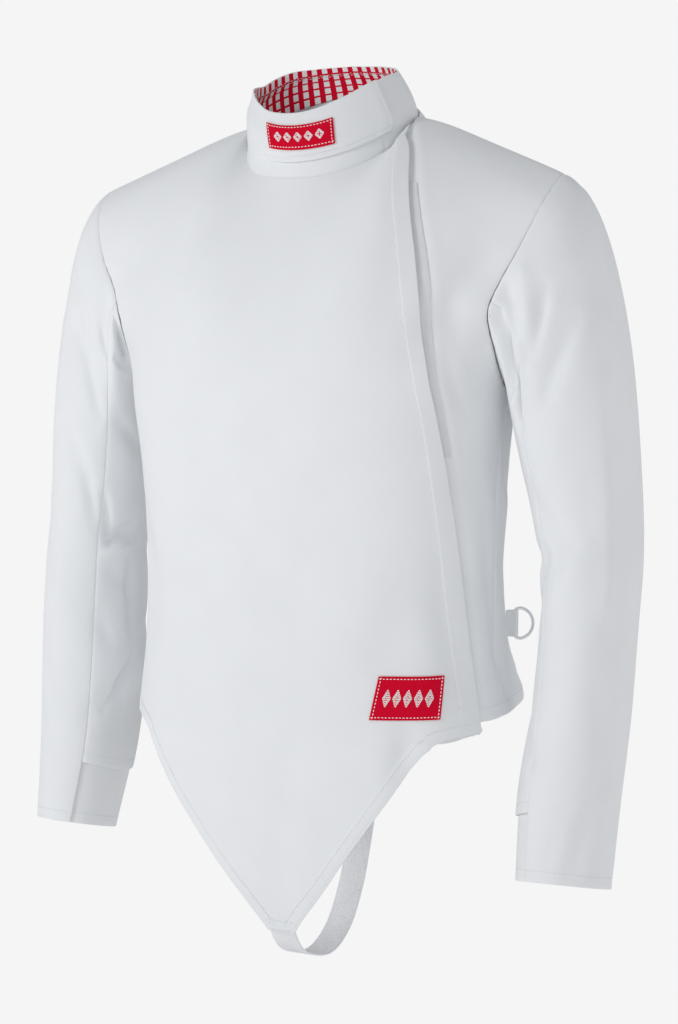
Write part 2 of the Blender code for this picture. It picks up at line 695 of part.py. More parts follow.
def bar_centre():
    root = on_body(math.radians(TAB_TURN), TAB_Z)
    out = np.array([math.sin(math.radians(TAB_TURN + 12)), -math.cos(math.radians(TAB_TURN + 12)), 0.0])
    return root, out, root + out * TAB_LENGTH


def make_tab():
    """Webbing folded round the ring's bar and sewn into the side of the back."""
    root, out, centre = bar_centre()
    side = np.array([-out[1], out[0], 0.0])
    hole = RING_WIRE / 2 + RING_CLEAR
    outer = hole + TAB_WALL
    half = TAB_WALL + 0.2
    points, count = [], 24
    for z in (TAB_HEIGHT / 2, -TAB_HEIGHT / 2):
        seat = on_body(math.radians(TAB_TURN), TAB_Z + z)
        reach = float(np.dot(centre - seat, out)) - SEAT_GAP
        for radius in (outer, hole):
            for k in range(count):
                a = 2 * math.pi * k / count
                across, back = radius * math.sin(a), -radius * math.cos(a)
                if radius == outer and back < -outer * 0.2:
                    spread = abs(math.sin(a)) / abs(math.sin(math.acos(0.2)))
                    across = math.copysign(half * spread, math.sin(a))
                    back = -reach
                points.append(centre + out * back + side * across + np.array([0, 0, z]))
    faces = []
    for k in range(count):
        j = (k + 1) % count
        to, ti, bo, bi = 0, count, 2 * count, 3 * count
        faces.append((to + k, to + j, ti + j, ti + k))
        faces.append((bo + j, bo + k, bi + k, bi + j))
        faces.append((to + j, to + k, bo + k, bo + j))
        faces.append((ti + k, ti + j, bi + j, bi + k))
    make_object("d_ring_tab", np.array(points), [f[::-1] for f in faces], WHITE)


def make_ring():
    """D-shaped wire ring; its origin is on the bar, about which it swings."""
    _, out, centre = bar_centre()
    half, corner = (RING_HEIGHT - RING_WIRE) / 2, 3.0
    path = [(0.0, z) for z in np.linspace(-half + corner, half - corner, 5)]
    path += [(0.9, half - 0.9)]
    for a in np.linspace(math.radians(78), math.radians(-78), 15):
        path.append((RING_DEPTH * math.cos(a) ** 0.8, half * math.sin(a) / math.sin(math.radians(78))))
    path += [(0.9, -half + 0.9)]
    spine = np.array([centre + out * r + np.array([0.0, 0.0, z]) for r, z in path])
    along_wire = unit(np.roll(spine, -1, axis=0) - np.roll(spine, 1, axis=0))
    flat = np.array([-out[1], out[0], 0.0])
    points, sides = [], 8
    for p, d in zip(spine, along_wire):
        other = np.cross(d, flat)
        for k in range(sides):
            a = 2 * math.pi * (k + 0.5) / sides
            points.append(p + RING_WIRE / 2 * (flat * math.cos(a) + other * math.sin(a)))
    count, faces = len(spine), []
    for i in range(count):
        for k in range(sides):
            j, m = (i + 1) % count, (k + 1) % sides
            faces.append((i * sides + k, i * sides + m, j * sides + m, j * sides + k))
    make_object("d_ring", np.array(points), faces, GREY, 0.35, 0.9, at=centre)


def main():
    for old in list(bpy.data.objects):
        bpy.data.objects.remove(old)
    make_body_and_sleeves()
    make_collar()
    make_patches()
    make_strap()
    make_tab()
    make_ring()


main()
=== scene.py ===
"""Looks of the fencing jacket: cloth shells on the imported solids, creases, stitching and materials.

Lengths are millimetres until a mesh is made. +X is the wearer's left, -Y the front, +Z up.
The form functions are those of the jacket's solids, so each shell lies on its solid.
"""
import math

import bpy
import numpy as np
from mathutils import Matrix, Vector


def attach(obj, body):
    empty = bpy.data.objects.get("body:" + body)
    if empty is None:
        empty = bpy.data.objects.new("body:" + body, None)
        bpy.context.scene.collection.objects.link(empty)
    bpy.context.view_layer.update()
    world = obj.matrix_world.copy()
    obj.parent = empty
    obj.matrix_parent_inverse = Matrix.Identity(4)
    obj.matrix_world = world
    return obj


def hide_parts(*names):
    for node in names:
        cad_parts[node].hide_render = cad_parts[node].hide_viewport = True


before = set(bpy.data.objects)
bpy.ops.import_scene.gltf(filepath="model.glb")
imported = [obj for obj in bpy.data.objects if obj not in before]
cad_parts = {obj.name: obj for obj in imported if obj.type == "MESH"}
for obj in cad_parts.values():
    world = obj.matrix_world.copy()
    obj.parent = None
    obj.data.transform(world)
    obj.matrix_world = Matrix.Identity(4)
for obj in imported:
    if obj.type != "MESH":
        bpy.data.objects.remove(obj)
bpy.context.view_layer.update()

MM = 0.001

# Sizes that the solids have too
CLOTH = 2.0                # wall of the body and sleeve panels
BAND_RISE = 0.8            # the closing edge is folded over, so it stands proud
SEAM_GAP = 0.3
SLEEVE_TRIM = 0.55         # sleeve edges stand back a little more, as the armholes are curved
LAP_DROP = 3.2             # how far the left front lies below the right front under the edge
CHEST_Z = -240.0           # level of the armpits
UNIT_DROP = 185.0          # millimetres for one unit of v below the chest line
TONGUE_Z = -736.0          # lowest point of the front tongue
SIDE_HEM_Z = -539.0
LEFT_HEM_Z = -535.0         # the left front is a little shorter
BACK_HEM_Z = -520.0
SLEEVE_RING_Z = -300.0     # below this level the sleeve is a row of rings
UNDER_HEM_Z = -613.0
UNDER_HEM_DROP = 6.0       # its middle hangs lower
CUFF_Z = -672.0
CUFF_INSET = 2.8
CUFF_TUCK = 8.0            # the cuff piece runs up under the hem of the under sleeve
COLLAR_WALL = 3.2          # several layers of cloth
LINING_WALL = 1.2
FLAP_WALL = 1.8
PATCH_WALL = 0.9
LAYER_GAP = 0.45
TAPE_GAP = 0.75            # the zip tape bridges a step in the cloth, so it stands off more
COLLAR_INSET = 1.0         # the stand's foot sits just inside the neck edge
FLAP_LOW = 0.26            # height of the flap's lower edge, as a share of the collar
STRAP_WIDTH = 25.0
STRAP_WALL = 1.6
RING_WIRE = 2.8
RING_HEIGHT = 31.0
RING_DEPTH = 16.5          # from the middle of the bar to the middle of the bow
RING_CLEAR = 0.35
TAB_WALL = 1.2
TAB_HEIGHT = 23.5
TAB_LENGTH = 7.5           # from the cloth to the middle of the bar
TAB_TURN = 104.0           # degrees round the body from the front centre
TAB_Z = -458.0
SEAT_GAP = 0.5             # from the tab's root to the cloth, which curves under it
SHOULDER_TIP = np.array([231.0, 10.0, -54.0])
NECK_SHARE = 40.0          # degrees of the body grid that the neck takes on each side
SHOULDER_TURN = 98.0       # place of the shoulder seam round the neck

NECK = {"cx": 11.5, "cy": 4.0, "half_width": 80.5, "front": 79.0, "back": 58.0,
        "z_front": -57.0, "tilt": 0.60}

RIM = {"cx": -1.5, "cy": 5.0, "half_width": 71.0, "front": 62.0, "back": 62.0}

RIM_HEIGHT = {"columns": ["turn", "z"], "rows": [
    (-180, 57), (-150, 56), (-130, 54), (-110, 47), (-95, 40), (-80, 37), (-60, 31), (-40, 17), (-20, 5),
    (0, 1), (20, 5), (40, 16), (60, 31), (80, 40), (95, 42), (110, 43), (130, 50), (150, 54), (180, 57),
]}

TORSO = {"columns": ["z", "half_width", "front", "back", "squareness"], "rows": [
    (-800, 156, 60, 96, 2.20),
    (-740, 166, 84, 112, 2.20),
    (-650, 182, 108, 130, 2.25),
    (-550, 184, 118, 136, 2.30),
    (-480, 177, 112, 122, 2.30),
    (-413, 174, 110, 104, 2.30),
    (-340, 177, 116, 106, 2.30),
    (-294, 178, 121, 109, 2.35),
    (-240, 183, 125, 113, 2.40),
]}

ARMHOLE = {"columns": ["turn", "body_turn", "x", "y", "z"], "rows": [
    (0, 90, 231, 10, -54),
    (20, 88, 231, -6, -60),
    (45, 81, 225, -31, -84),
    (70, 71.5, 210, -47, -122),
    (92, 64.5, 196, -52, -149),
    (115, 64.5, 187, -57, -175),
    (140, 74, 187, -40, -208),
    (160, 83, 185, -18, -231),
    (180, 90, 183, 1, -240),
    (200, 99, 184, 21, -234),
    (220, 108.5, 186, 44, -215),
    (245, 115, 184, 64, -186),
    (268, 115, 188, 74, -150),
    (290, 109, 202, 67, -114),
    (315, 100, 220, 46, -80),
    (340, 92.5, 230, 24, -59),
]}

SLEEVE = {"columns": ["z", "cx", "cy", "half_width", "half_depth", "lean", "twist", "front_lift"], "rows": [
    (-300, 246.5, 17, 50, 63, 4, 23, 0),
    (-350, 253, 17.5, 47, 60, 0, 23, 0),
    (-395, 258, 14, 45, 57, -3, 22, 0),
    (-442, 258.5, 11, 44, 58, -5.5, 21, 2),
    (-512, 256.5, 1.5, 45, 54.5, -6, 18, 5),
    (-599, 252, -17, 45, 50, -2, 15, 9),
    (-672, 253, -37, 41, 45, 4, 13, 12),
]}

CLOSING = {"columns": ["v", "turn"], "rows": [
    (-1.70, 77.5), (-1.30, 76.0), (-0.96, 73.6), (-0.57, 68.6), (-0.20, 63.0), (0.06, 58.0),
    (0.30, 51.0), (0.50, 47.3), (0.66, 45.2), (0.77, 43.5), (0.88, 40.0), (1.00, 35.0),
]}

BAND = {"columns": ["v", "turn"], "rows": [
    (-1.7, 6.6), (-1.1, 6.7), (-0.52, 5.8), (-0.05, 4.7), (0.43, 4.4), (0.7, 5.6), (1.0, 6.0),
]}

UNDERLAP = {"columns": ["v", "turn"], "rows": [(-1.7, 7.0), (0.0, 9.0), (0.8, 8.0), (1.0, 3.0)]}

TONGUE = {"columns": ["z", "right_turn", "left_turn"], "rows": [
    (-539, -90, 77.4),
    (-545, -82, 76),
    (-549, -70, 65),
    (-556, -61.5, 60.5),
    (-568, -57, 56.6),
    (-587, -52.3, 52.3),
    (-610, -46.8, 47.0),
    (-634, -40.8, 41.4),
    (-660, -34.2, 34.8),
    (-684, -27.6, 28.4),
    (-706, -20.4, 21.0),
    (-722, -14.4, 14.4),
    (-736, -9.0, 9.0),
]}

TONGUE_LEVELS = (-543, -547, -551, -557, -568, -584, -604, -628, -656, -682, -706, -724)

FLAP_END = {"columns": ["height", "turn"], "rows": [
    (0.26, 65.5), (0.34, 68), (0.55, 67.5), (0.75, 66.5), (1.0, 65.5),
]}

STRAP = {"columns": ["along", "y", "z"], "rows": [
    (0.00, -89.0, -716),
    (0.05, -82.6, -736),
    (0.11, -66, -757),
    (0.18, -36, -771),
    (0.26, -2, -776),
    (0.35, 34, -761),
    (0.43, 57, -734),
    (0.54, 77, -692),
    (0.66, 95, -640),
    (0.81, 110.5, -580),
    (0.89, 121.5, -548),
    (0.94, 126.6, -524),
    (1.00, 123.8, -500),
]}

# Largest folds: each runs from one (turn, z) to another; a depth below 0 is a ridge
SLEEVE_FOLDS = {"columns": ["turn", "z", "to_turn", "to_z", "width", "depth"], "rows": [
    (96, -158, 106, -226, 9, 4.0),
    (66, -178, 104, -250, 10, 3.6),
    (48, -150, 84, -280, 12, 3.2),
    (36, -185, 34, -350, 14, -3.0),
    (268, -160, 256, -235, 11, 3.6),
    (300, -190, 262, -270, 12, 3.0),
    (112, -384, 172, -396, 10, 3.2),
    (128, -428, 176, -452, 10, 2.8),
    (104, -562, 152, -524, 9, 2.4),
    (238, -408, 292, -430, 12, 2.6),
    (250, -470, 200, -500, 11, 2.2),
]}

BODY_FOLDS = {"columns": ["turn", "z", "to_turn", "to_z", "width", "depth"], "rows": [
    (66, -105, 54, -205, 15, 4.0),
    (66, -395, 71, -505, 15, 3.0),
    (-72, -300, -60, -440, 18, 2.6),
    (84, -280, 96, -400, 15, 3.2),
    (-84, -285, -100, -410, 15, 3.2),
    (150, -330, 162, -480, 18, 3.6),
    (-154, -340, -166, -470, 18, 3.4),
    (118, -250, 140, -400, 18, 3.0),
    (-118, -250, -138, -390, 18, 3.0),
    (109, -506, 114, -545, 22, -10.0),
]}
SLEEVE_SPAN = 0.9          # millimetres for a degree round a sleeve
BODY_SPAN = 2.7            # and round the body


# Sizes of the looks
SHELL = 1.7                # shown thickness of the cloth
SEAM_DIP = 0.75            # how far a panel rounds down into a seam
SEAM_LAP = 0.15            # the top sleeve laps over its seams
UNDER_DIP = 1.3            # and the under sleeve dips below them
PUCKER = 0.35
STITCH_DIP = 0.3
HEM_STITCH = 11.0
HEM_RISE = 0.45            # the folded hem stands proud
CUFF_STITCH = 9.0
FLAP_STITCH = 4.5
LINING_STITCH = 6.5
RIM_THINNING = 1.7         # the stand thins out towards its rim
FLAP_CURL = 1.3            # the flap's end stands off
NECK_RISE = 6.5            # the body cloth climbs a little up the collar at its sides
RIM_LEAN = 5.0             # how far the rim leans in on the wearer's right
RIM_SINK = 4.0
RIM_DIP = 3.8              # and dips on the left
FOOT_FLARE = 3.0
COLLAR_HEIGHT = 68.0
NOTCH_AT = 0.86            # place up the closing edge, as v
NOTCH_DEPTH = 1.3
CHEST_BLUR = 9.0           # smooths the panels below the armholes
CHEST_REACH = 22.0
RIGHT_WIDTH = 520.0        # widths that set how fine a panel's grid is
LEFT_WIDTH = 130.0
BACK_WIDTH = 540.0
SLEEVE_CAP = 200.0
CHECK_ACROSS = 10.4        # pitch of the lining's panes
CHECK_DOWN = 13.6
PANE_WIDTH = 0.50
PANE_HEIGHT = 0.76
LOZENGES = 5

WHITE = (0.812, 0.828, 0.848)
PURE_WHITE = (0.86, 0.86, 0.87)
RED = (0.66, 0.003, 0.028)
WEBBING = (0.86, 0.87, 0.89)
TAPE_GREY = (0.80, 0.81, 0.83)
THREAD = (0.72, 0.74, 0.77)
LABEL_THREAD = (0.95, 0.90, 0.90)
METAL = (0.84, 0.85, 0.87)

# Camera and studio, in metres and degrees
CAMERA_LENS = 70.03
CAMERA_DISTANCE = 1.850
CAMERA_HEIGHT = -0.190
CAMERA_AZIMUTH = 27.0
CAMERA_PITCH = 5.22
CAMERA_YAW = math.atan(16 / 1992)
FLOOR_Z = -1.45
SURROUND = (0.913, 0.913, 0.918)
FLOOR_COLOUR = (0.86, 0.86, 0.87)
WORLD_LIGHT = 0.45
LIGHT_TARGET = Vector((0.0, 0.0, -0.35))
LIGHTS = [
    ("key", (-1.65, -2.3, 0.74), 1.2, 30.0),
    ("fill", (1.15, -1.55, -0.35), 0.8, 3.6),
    ("side", (2.45, 0.95, 0.15), 1.1, 7.0),
    ("low", (-0.7, -1.6, -1.3), 0.9, 2.0),
]

# Finer creases, as the largest folds are given
BODY_CREASES = {"columns": ["turn", "z", "to_turn", "to_z", "width", "depth"], "rows": [
    (72, -108, 60, -160, 11, 4.3),
    (60, -160, 63, -205, 12, 3.6),
    (62, -212, 69, -252, 9, 2.7),
    (58, -128, 50, -185, 14, -2.2),
    (-68, -118, -72, -190, 9, 1.8),
    (30, -330, 8, -470, 30, 1.8),
    (-20, -250, -34, -420, 26, 1.8),
    (55, -424, 48, -505, 24, 3.6),
    (55, -540, 53, -585, 12, 4.3),
    (80, -330, 90, -470, 10, 2.9),
    (-72, -350, -60, -470, 14, 2.2),
    (12, -560, 4, -690, 24, 1.8),
    (-36, -520, -42, -565, 10, 2.0),
    (88, -470, 96, -520, 8, 3.6),
    (93, -262, 100, -330, 9, 9.0),
    (-93, -262, -100, -330, 9, 9.0),
]}

NEAR_SLEEVE_CREASES = {"columns": ["turn", "z", "to_turn", "to_z", "width", "depth"], "rows": [
    (72, -138, 82, -222, 4, -3.4),
    (62, -152, 81, -214, 5, 5.0),
    (55, -165, 79, -220, 5, -2.9),
    (43, -182, 73, -245, 6, 4.0),
    (38, -196, 56, -246, 8, -1.8),
    (45, -90, 72, -130, 8, 2.5),
    (90, -146, 96, -190, 5, 4.7),
    (112, -172, 119, -238, 8, 16.5),
    (101, -222, 108, -272, 5, 9.0),
    (92, -205, 99, -262, 4, -3.2),
    (20, -170, 16, -215, 4, -1.4),
    (28, -232, 34, -430, 7, -3.2),
    (20, -240, 22, -420, 9, 2.3),
    (112, -330, 66, -374, 11, 2.9),
    (125, -412, 97, -382, 6, 5.4),
    (103, -430, 50, -380, 11, -2.7),
    (19, -430, 38, -500, 13, 3.1),
    (36, -505, 20, -570, 11, 2.7),
    (30, -580, 48, -655, 10, 2.9),
    (60, -600, 84, -655, 9, 1.4),
    (300, -380, 250, -400, 7, 2.7),
    (262, -440, 300, -480, 9, 2.5),
    (284, -180, 262, -250, 6, 3.6),
]}

FAR_SLEEVE_CREASES = {"columns": ["turn", "z", "to_turn", "to_z", "width", "depth"], "rows": [
    (60, -188, 78, -216, 6, 3.6),
    (78, -216, 96, -270, 6, 4.3),
    (60, -282, 85, -332, 9, 3.6),
    (95, -188, 108, -214, 4, 3.2),
    (117, -172, 141, -212, 5, 14.4),
    (124, -219, 146, -224, 4, 4.3),
    (122, -280, 152, -302, 9, 4.3),
    (85, -333, 98, -370, 6, 3.4),
    (107, -350, 121, -394, 5, 4.7),
    (122, -394, 162, -378, 6, 5.8),
    (120, -404, 166, -398, 5, -2.9),
    (162, -418, 166, -482, 10, 6.1),
    (172, -512, 126, -557, 5, 5.8),
    (160, -532, 142, -578, 11, 3.6),
    (112, -470, 128, -494, 9, 2.2),
    (40, -380, 52, -540, 12, 1.6),
    (300, -370, 252, -398, 7, 2.7),
    (256, -450, 306, -470, 8, 2.9),
    (288, -190, 262, -240, 6, 4.0),
]}


def ease(t):
    t = np.clip(t, 0.0, 1.0)
    return t * t * (3.0 - 2.0 * t)


def along(table, name, at):
    """Smooth value of a table's column at a place given in its first column."""
    rows = np.array(sorted(table["rows"]), float)
    x, y = rows[:, 0], rows[:, table["columns"].index(name)]
    if table is ARMHOLE:
        x = np.concatenate([x[-2:] - 360.0, x, x[:2] + 360.0])
        y = np.concatenate([y[-2:], y, y[:2]])
    step = np.diff(x)
    rise = np.diff(y) / step
    slope = np.empty_like(y)
    slope[1:-1] = (rise[:-1] * step[1:] + rise[1:] * step[:-1]) / (step[:-1] + step[1:])
    slope[0], slope[-1] = rise[0], rise[-1]
    at = np.clip(np.asarray(at, float), x[0], x[-1])
    k = np.clip(np.searchsorted(x, at, side="right") - 1, 0, len(x) - 2)
    d = step[k]
    t = (at - x[k]) / d
    return ((1 + 2 * t) * (1 - t) ** 2 * y[k] + t * (1 - t) ** 2 * d * slope[k]
            + t * t * (3 - 2 * t) * y[k + 1] + t * t * (t - 1) * d * slope[k + 1])


def hermite(t, p0, m0, p1, m1):
    return ((1 + 2 * t) * (1 - t) ** 2 * p0 + t * (1 - t) ** 2 * m0
            + t * t * (3 - 2 * t) * p1 + t * t * (t - 1) * m1)


def unit(v):
    return v / np.maximum(np.linalg.norm(v, axis=-1, keepdims=True), 1e-9)


def body_ring(turn, z):
    """Level section of the body; turn in radians from the front centre to the wearer's left."""
    a, n = along(TORSO, "half_width", z), along(TORSO, "squareness", z)
    c, s = np.cos(turn), np.sin(turn)
    b = np.where(c > 0, along(TORSO, "front", z), along(TORSO, "back", z))
    r = (np.abs(s / a) ** n + np.abs(c / b) ** n) ** (-1.0 / n)
    return np.stack([r * s, -r * c, z + 0 * turn], -1)


def neck_ring(turn):
    c = np.cos(turn)
    x = NECK["cx"] + NECK["half_width"] * np.sin(turn)
    y = NECK["cy"] - np.where(c > 0, NECK["front"], NECK["back"]) * c
    z = NECK["z_front"] + NECK["tilt"] * (y - NECK["cy"] + NECK["front"])
    return np.stack([x, y, z], -1)


def rim_ring(turn):
    c = np.cos(turn)
    x = RIM["cx"] + RIM["half_width"] * np.sin(turn)
    y = RIM["cy"] - np.where(c > 0, RIM["front"], RIM["back"]) * c
    around = np.degrees(np.arctan2(np.sin(turn), c))
    return np.stack([x, y, along(RIM_HEIGHT, "z", around)], -1)


def fold_depth(folds, span, turn, z):
    """Depth of the folds of one table at places given by degrees round and by height."""
    depth = 0.0
    for start, z0, end, z1, width, deep in folds["rows"]:
        line = np.array([(end - start) * span, z1 - z0])
        across, down = (turn - start) * span, z - z0
        t = np.clip((across * line[0] + down * line[1]) / line.dot(line), 0, 1)
        away = np.hypot(across - t * line[0], down - t * line[1])
        depth = depth + deep * (0.55 + 0.45 * np.sin(math.pi * t)) * np.exp(-(away / width) ** 2)
    return depth


def split_turn(turn):
    """Side, whether it is in front, and the angle from the nearer of front and back centre."""
    side = np.where(turn < 0, -1.0, 1.0)
    in_front = np.abs(turn) <= math.pi / 2
    return side, in_front, np.where(in_front, np.abs(turn), math.pi - np.abs(turn))


def top_edge(turn):
    """Neck seam and shoulder seams, one point for each turn of the body grid."""
    side, in_front, g = split_turn(turn)
    share, meet = math.radians(NECK_SHARE), math.radians(SHOULDER_TURN)
    t = np.clip(g / share, 0, 1)
    at_neck = neck_ring(side * np.where(in_front, meet * t, math.pi - (math.pi - meet) * t))
    start = neck_ring(side * meet)
    tip = SHOULDER_TIP * np.stack([side, np.ones_like(side), np.ones_like(side)], -1)
    w = np.clip((g - share) / (math.pi / 2 - share), 0, 1)[..., None]
    seam = start + (tip - start) * w
    seam[..., 2] += 4.0 * np.sin(math.pi * w[..., 0])
    return np.where((g <= share)[..., None], at_neck, seam)


def top_heading(turn):
    """Way in which the cloth runs as it comes up to the top edge."""
    _, in_front, g = split_turn(turn)
    w = ease(g / math.radians(NECK_SHARE))[..., None]
    front = in_front[..., None]
    centre = np.where(front, np.array([0.0, 0.42, 0.90]), np.array([0.0, -0.30, 0.95]))
    ridge = np.where(front, np.array([0.0, 1.0, 0.10]), np.array([0.0, -1.0, 0.10]))
    return unit(centre * (1 - w) + ridge * w)


def plain_torso(turn, v):
    """Body without its armholes: v below 0 goes down the rings, 0 to 1 up to the top edge."""
    low = body_ring(turn, CHEST_Z + UNIT_DROP * np.minimum(v, 0))
    chest = body_ring(turn, CHEST_Z + 0 * turn)
    rise = (chest - body_ring(turn, CHEST_Z - 12.0 + 0 * turn)) / 12.0
    t = np.clip(v, 0, 1)
    spread = math.radians(58.0) * (1 - t) * t
    top, heading = 0, 0
    for offset, share in ((-1.0, 0.12), (-0.5, 0.22), (0.0, 0.32), (0.5, 0.22), (1.0, 0.12)):
        near = np.clip(turn + offset * spread, -math.pi, math.pi)
        top = top + share * top_edge(near)
        heading = heading + share * top_heading(near)
    reach = np.linalg.norm(top_edge(turn) - chest, axis=-1, keepdims=True)
    w = ease(split_turn(turn)[2] / math.radians(NECK_SHARE))[..., None]
    up = hermite(t[..., None], chest, rise * reach * (0.95 + 0.15 * w),
                 top, heading * reach * (0.75 + 0.30 * w))
    return np.where((v <= 0)[..., None], low, up)


def armhole(turn):
    """Point of the left armhole: 0 at the shoulder tip, 90 degrees in front, 180 at the armpit."""
    deg = np.mod(np.degrees(turn), 360.0)
    return np.stack([along(ARMHOLE, k, deg) for k in ("x", "y", "z")], -1)


def armhole_body_turn(turn):
    return np.radians(along(ARMHOLE, "body_turn", np.mod(np.degrees(turn), 360.0)))


def level_to_turn(v, in_front=True):
    turn = np.arccos(np.clip(2 * v - 1, -1, 1))
    return turn if in_front else 2 * math.pi - turn


def torso(turn, v):
    """Outer surface of the body panels, led to the armholes at its sides."""
    turn, v = np.broadcast_arrays(np.asarray(turn, float), np.asarray(v, float))
    p = plain_torso(turn, v)
    vv = np.clip(v, 0, 1)
    side, in_front, _ = split_turn(turn)
    for front in (True, False):
        around = level_to_turn(vv, front)
        edge = armhole_body_turn(around)
        hole = armhole(around)
        for sign in (1.0, -1.0):
            shift = hole * np.array([sign, 1.0, 1.0]) - plain_torso(sign * edge, vv)
            g = np.abs(turn) / edge if front else (math.pi - np.abs(turn)) / (math.pi - edge)
            use = (in_front == front) & (side == sign) & (v > 0)
            pull = np.clip(g, 0, 1) ** (4 + 6 * (1 - vv) ** 6)
            p = p + np.where(use, pull, 0.0)[..., None] * shift
    side_share = np.abs(turn) / armhole_body_turn(level_to_turn(vv))
    back_share = (math.pi - np.abs(turn)) / (math.pi - armhole_body_turn(level_to_turn(vv, False)))
    near_hole = np.where(in_front, side_share, back_share)
    calm = np.where(v > 0, ease((1 - near_hole) * 6) * ease((1 - v) * 5), 1.0)
    depth = fold_depth(BODY_FOLDS, BODY_SPAN, np.degrees(turn), p[..., 2]) * calm
    outward = unit(p * np.array([0.45, 1.0, 0.0]))
    return p - outward * depth[..., None]


def sleeve_ring(turn, z):
    a, b = along(SLEEVE, "half_width", z), along(SLEEVE, "half_depth", z)
    around = turn + np.radians(along(SLEEVE, "twist", z)) * np.sin(turn)
    x = along(SLEEVE, "cx", z) + a * np.cos(around)
    y = along(SLEEVE, "cy", z) - b * np.sin(around) + along(SLEEVE, "lean", z) * np.cos(around)
    return np.stack([x, y, z + along(SLEEVE, "front_lift", z) * np.sin(around)], -1)


def sleeve(turn, g):
    """Left sleeve: g 0 to 1 from the armhole to the first ring, then levels down as 1 + mm."""
    turn, g = np.broadcast_arrays(np.asarray(turn, float), np.asarray(g, float))
    start, ring = armhole(turn), sleeve_ring(turn, SLEEVE_RING_Z + 0 * turn)
    down = (sleeve_ring(turn, SLEEVE_RING_Z - 12.0 + 0 * turn) - ring) / 12.0
    c, s = np.cos(turn), np.sin(turn)
    top = (1 + c) / 2
    leave_x = 40 + 95 * top ** 0.8 - 45 * np.maximum(s, 0) ** 2
    leave = np.stack([leave_x, -26.0 * s, -45 - 15 * top], -1)
    drop = np.linalg.norm(start - ring, axis=-1, keepdims=True)
    cap = hermite(np.clip(g, 0, 1)[..., None], start, leave, ring, down * drop * 1.2)
    low = sleeve_ring(turn, SLEEVE_RING_Z - np.maximum(g - 1, 0))
    p = np.where((g <= 1)[..., None], cap, low)
    degrees = np.mod(np.degrees(turn), 360.0)
    depth = fold_depth(SLEEVE_FOLDS, SLEEVE_SPAN, degrees, p[..., 2]) * ease(g * 6)
    z = np.minimum(p[..., 2], SLEEVE_RING_Z)
    axis = np.stack([along(SLEEVE, "cx", z), along(SLEEVE, "cy", z), p[..., 2]], -1)
    return p - unit(p - axis) * depth[..., None]


def collar(turn, height):
    """Outer face of the collar stand: height 0 at the neck seam, 1 at the rim."""
    turn, height = np.broadcast_arrays(np.asarray(turn, float), np.asarray(height, float))
    low, high = neck_ring(turn), rim_ring(turn)
    p = low + (high - low) * height[..., None]
    out = unit(np.stack([np.sin(turn), -np.cos(turn), 0.2 + 0 * turn], -1))
    return p + out * (1.8 * np.sin(math.pi * height) - COLLAR_INSET * (1 - height) ** 4)[..., None]


def grid_normals(p, ring=False):
    """Normals of a grid whose rows run down and whose columns run to the wearer's left."""
    down = np.gradient(p, axis=0)
    if ring:
        across = np.roll(p, -1, axis=1) - np.roll(p, 1, axis=1)
    else:
        across = np.gradient(p, axis=1)
    return unit(np.cross(down, across))


def moved_out(p, distance, ring=False):
    return p + grid_normals(p, ring) * np.asarray(distance, float)[..., None]


def closing_turn(v):
    return np.radians(along(CLOSING, "turn", v))


def band_turn(v):
    return np.radians(along(BAND, "turn", v))


def body_relief(turn, z, calm):
    """Finer creases of the body panels, in millimetres inwards."""
    deg = np.degrees(turn)
    depth = fold_depth(BODY_CREASES, BODY_SPAN, deg, z)
    across = deg * BODY_SPAN
    swell = (0.50 * np.sin(across / 41 + z / 90) + 0.42 * np.sin(across / 67 - z / 53 + 1.3)
             + 0.30 * np.sin(across / 23 + z / 140 + 2.1))
    return (depth + swell) * calm


def sleeve_relief(turn, z, calm, near):
    deg = np.mod(np.degrees(turn), 360.0)
    table = NEAR_SLEEVE_CREASES if near else FAR_SLEEVE_CREASES
    depth = fold_depth(table, SLEEVE_SPAN, deg, z)
    phase = 0.0 if near else 1.7
    swell = (0.55 * np.sin(turn * 2 + z / 47 + phase) + 0.40 * np.sin(turn * 3 - z / 71 + 2 * phase)
             + 0.28 * np.sin(turn + z / 27 + phase))
    return (depth + swell) * calm


def fine_torso(turn, v):
    """Body surface with its finer creases, calm beside the armholes and the top edge."""
    turn, v = np.broadcast_arrays(np.asarray(turn, float), np.asarray(v, float))
    p = torso(turn, v)
    front_share = np.abs(turn) / armhole_body_turn(level_to_turn(np.clip(v, 0, 1)))
    back_edge = armhole_body_turn(level_to_turn(np.clip(v, 0, 1), False))
    back_share = (math.pi - np.abs(turn)) / (math.pi - back_edge)
    share = np.where(np.abs(turn) <= math.pi / 2, front_share, back_share)
    beside = ease((1 - share) * 9)
    below = 1 - (1 - beside) * np.exp(np.minimum(v, 0) * UNIT_DROP / 35.0)
    calm = np.where(v > 0, beside * ease((1 - v) * 9), below)
    outward = unit(p * np.array([0.45, 1.0, 0.0]))
    p = p - outward * body_relief(turn, p[..., 2], calm)[..., None]
    armpit = armhole(np.array(math.pi)) - body_ring(np.array(math.pi / 2), CHEST_Z)
    eased = np.where(v > 0, 0.0, np.clip(share, 0, 1) ** 10 * np.exp(np.minimum(v, 0) * UNIT_DROP / 45.0))
    from_centre = np.degrees(split_turn(turn)[2])
    climb = NECK_RISE * np.exp(-((from_centre - 45.0) / 17.0) ** 2) * np.clip(v, 0, 1) ** 4
    return p + eased[..., None] * armpit * np.array([0.0, 1.0, 1.0]) + climb[..., None] * np.array([0, 0, 1.0])


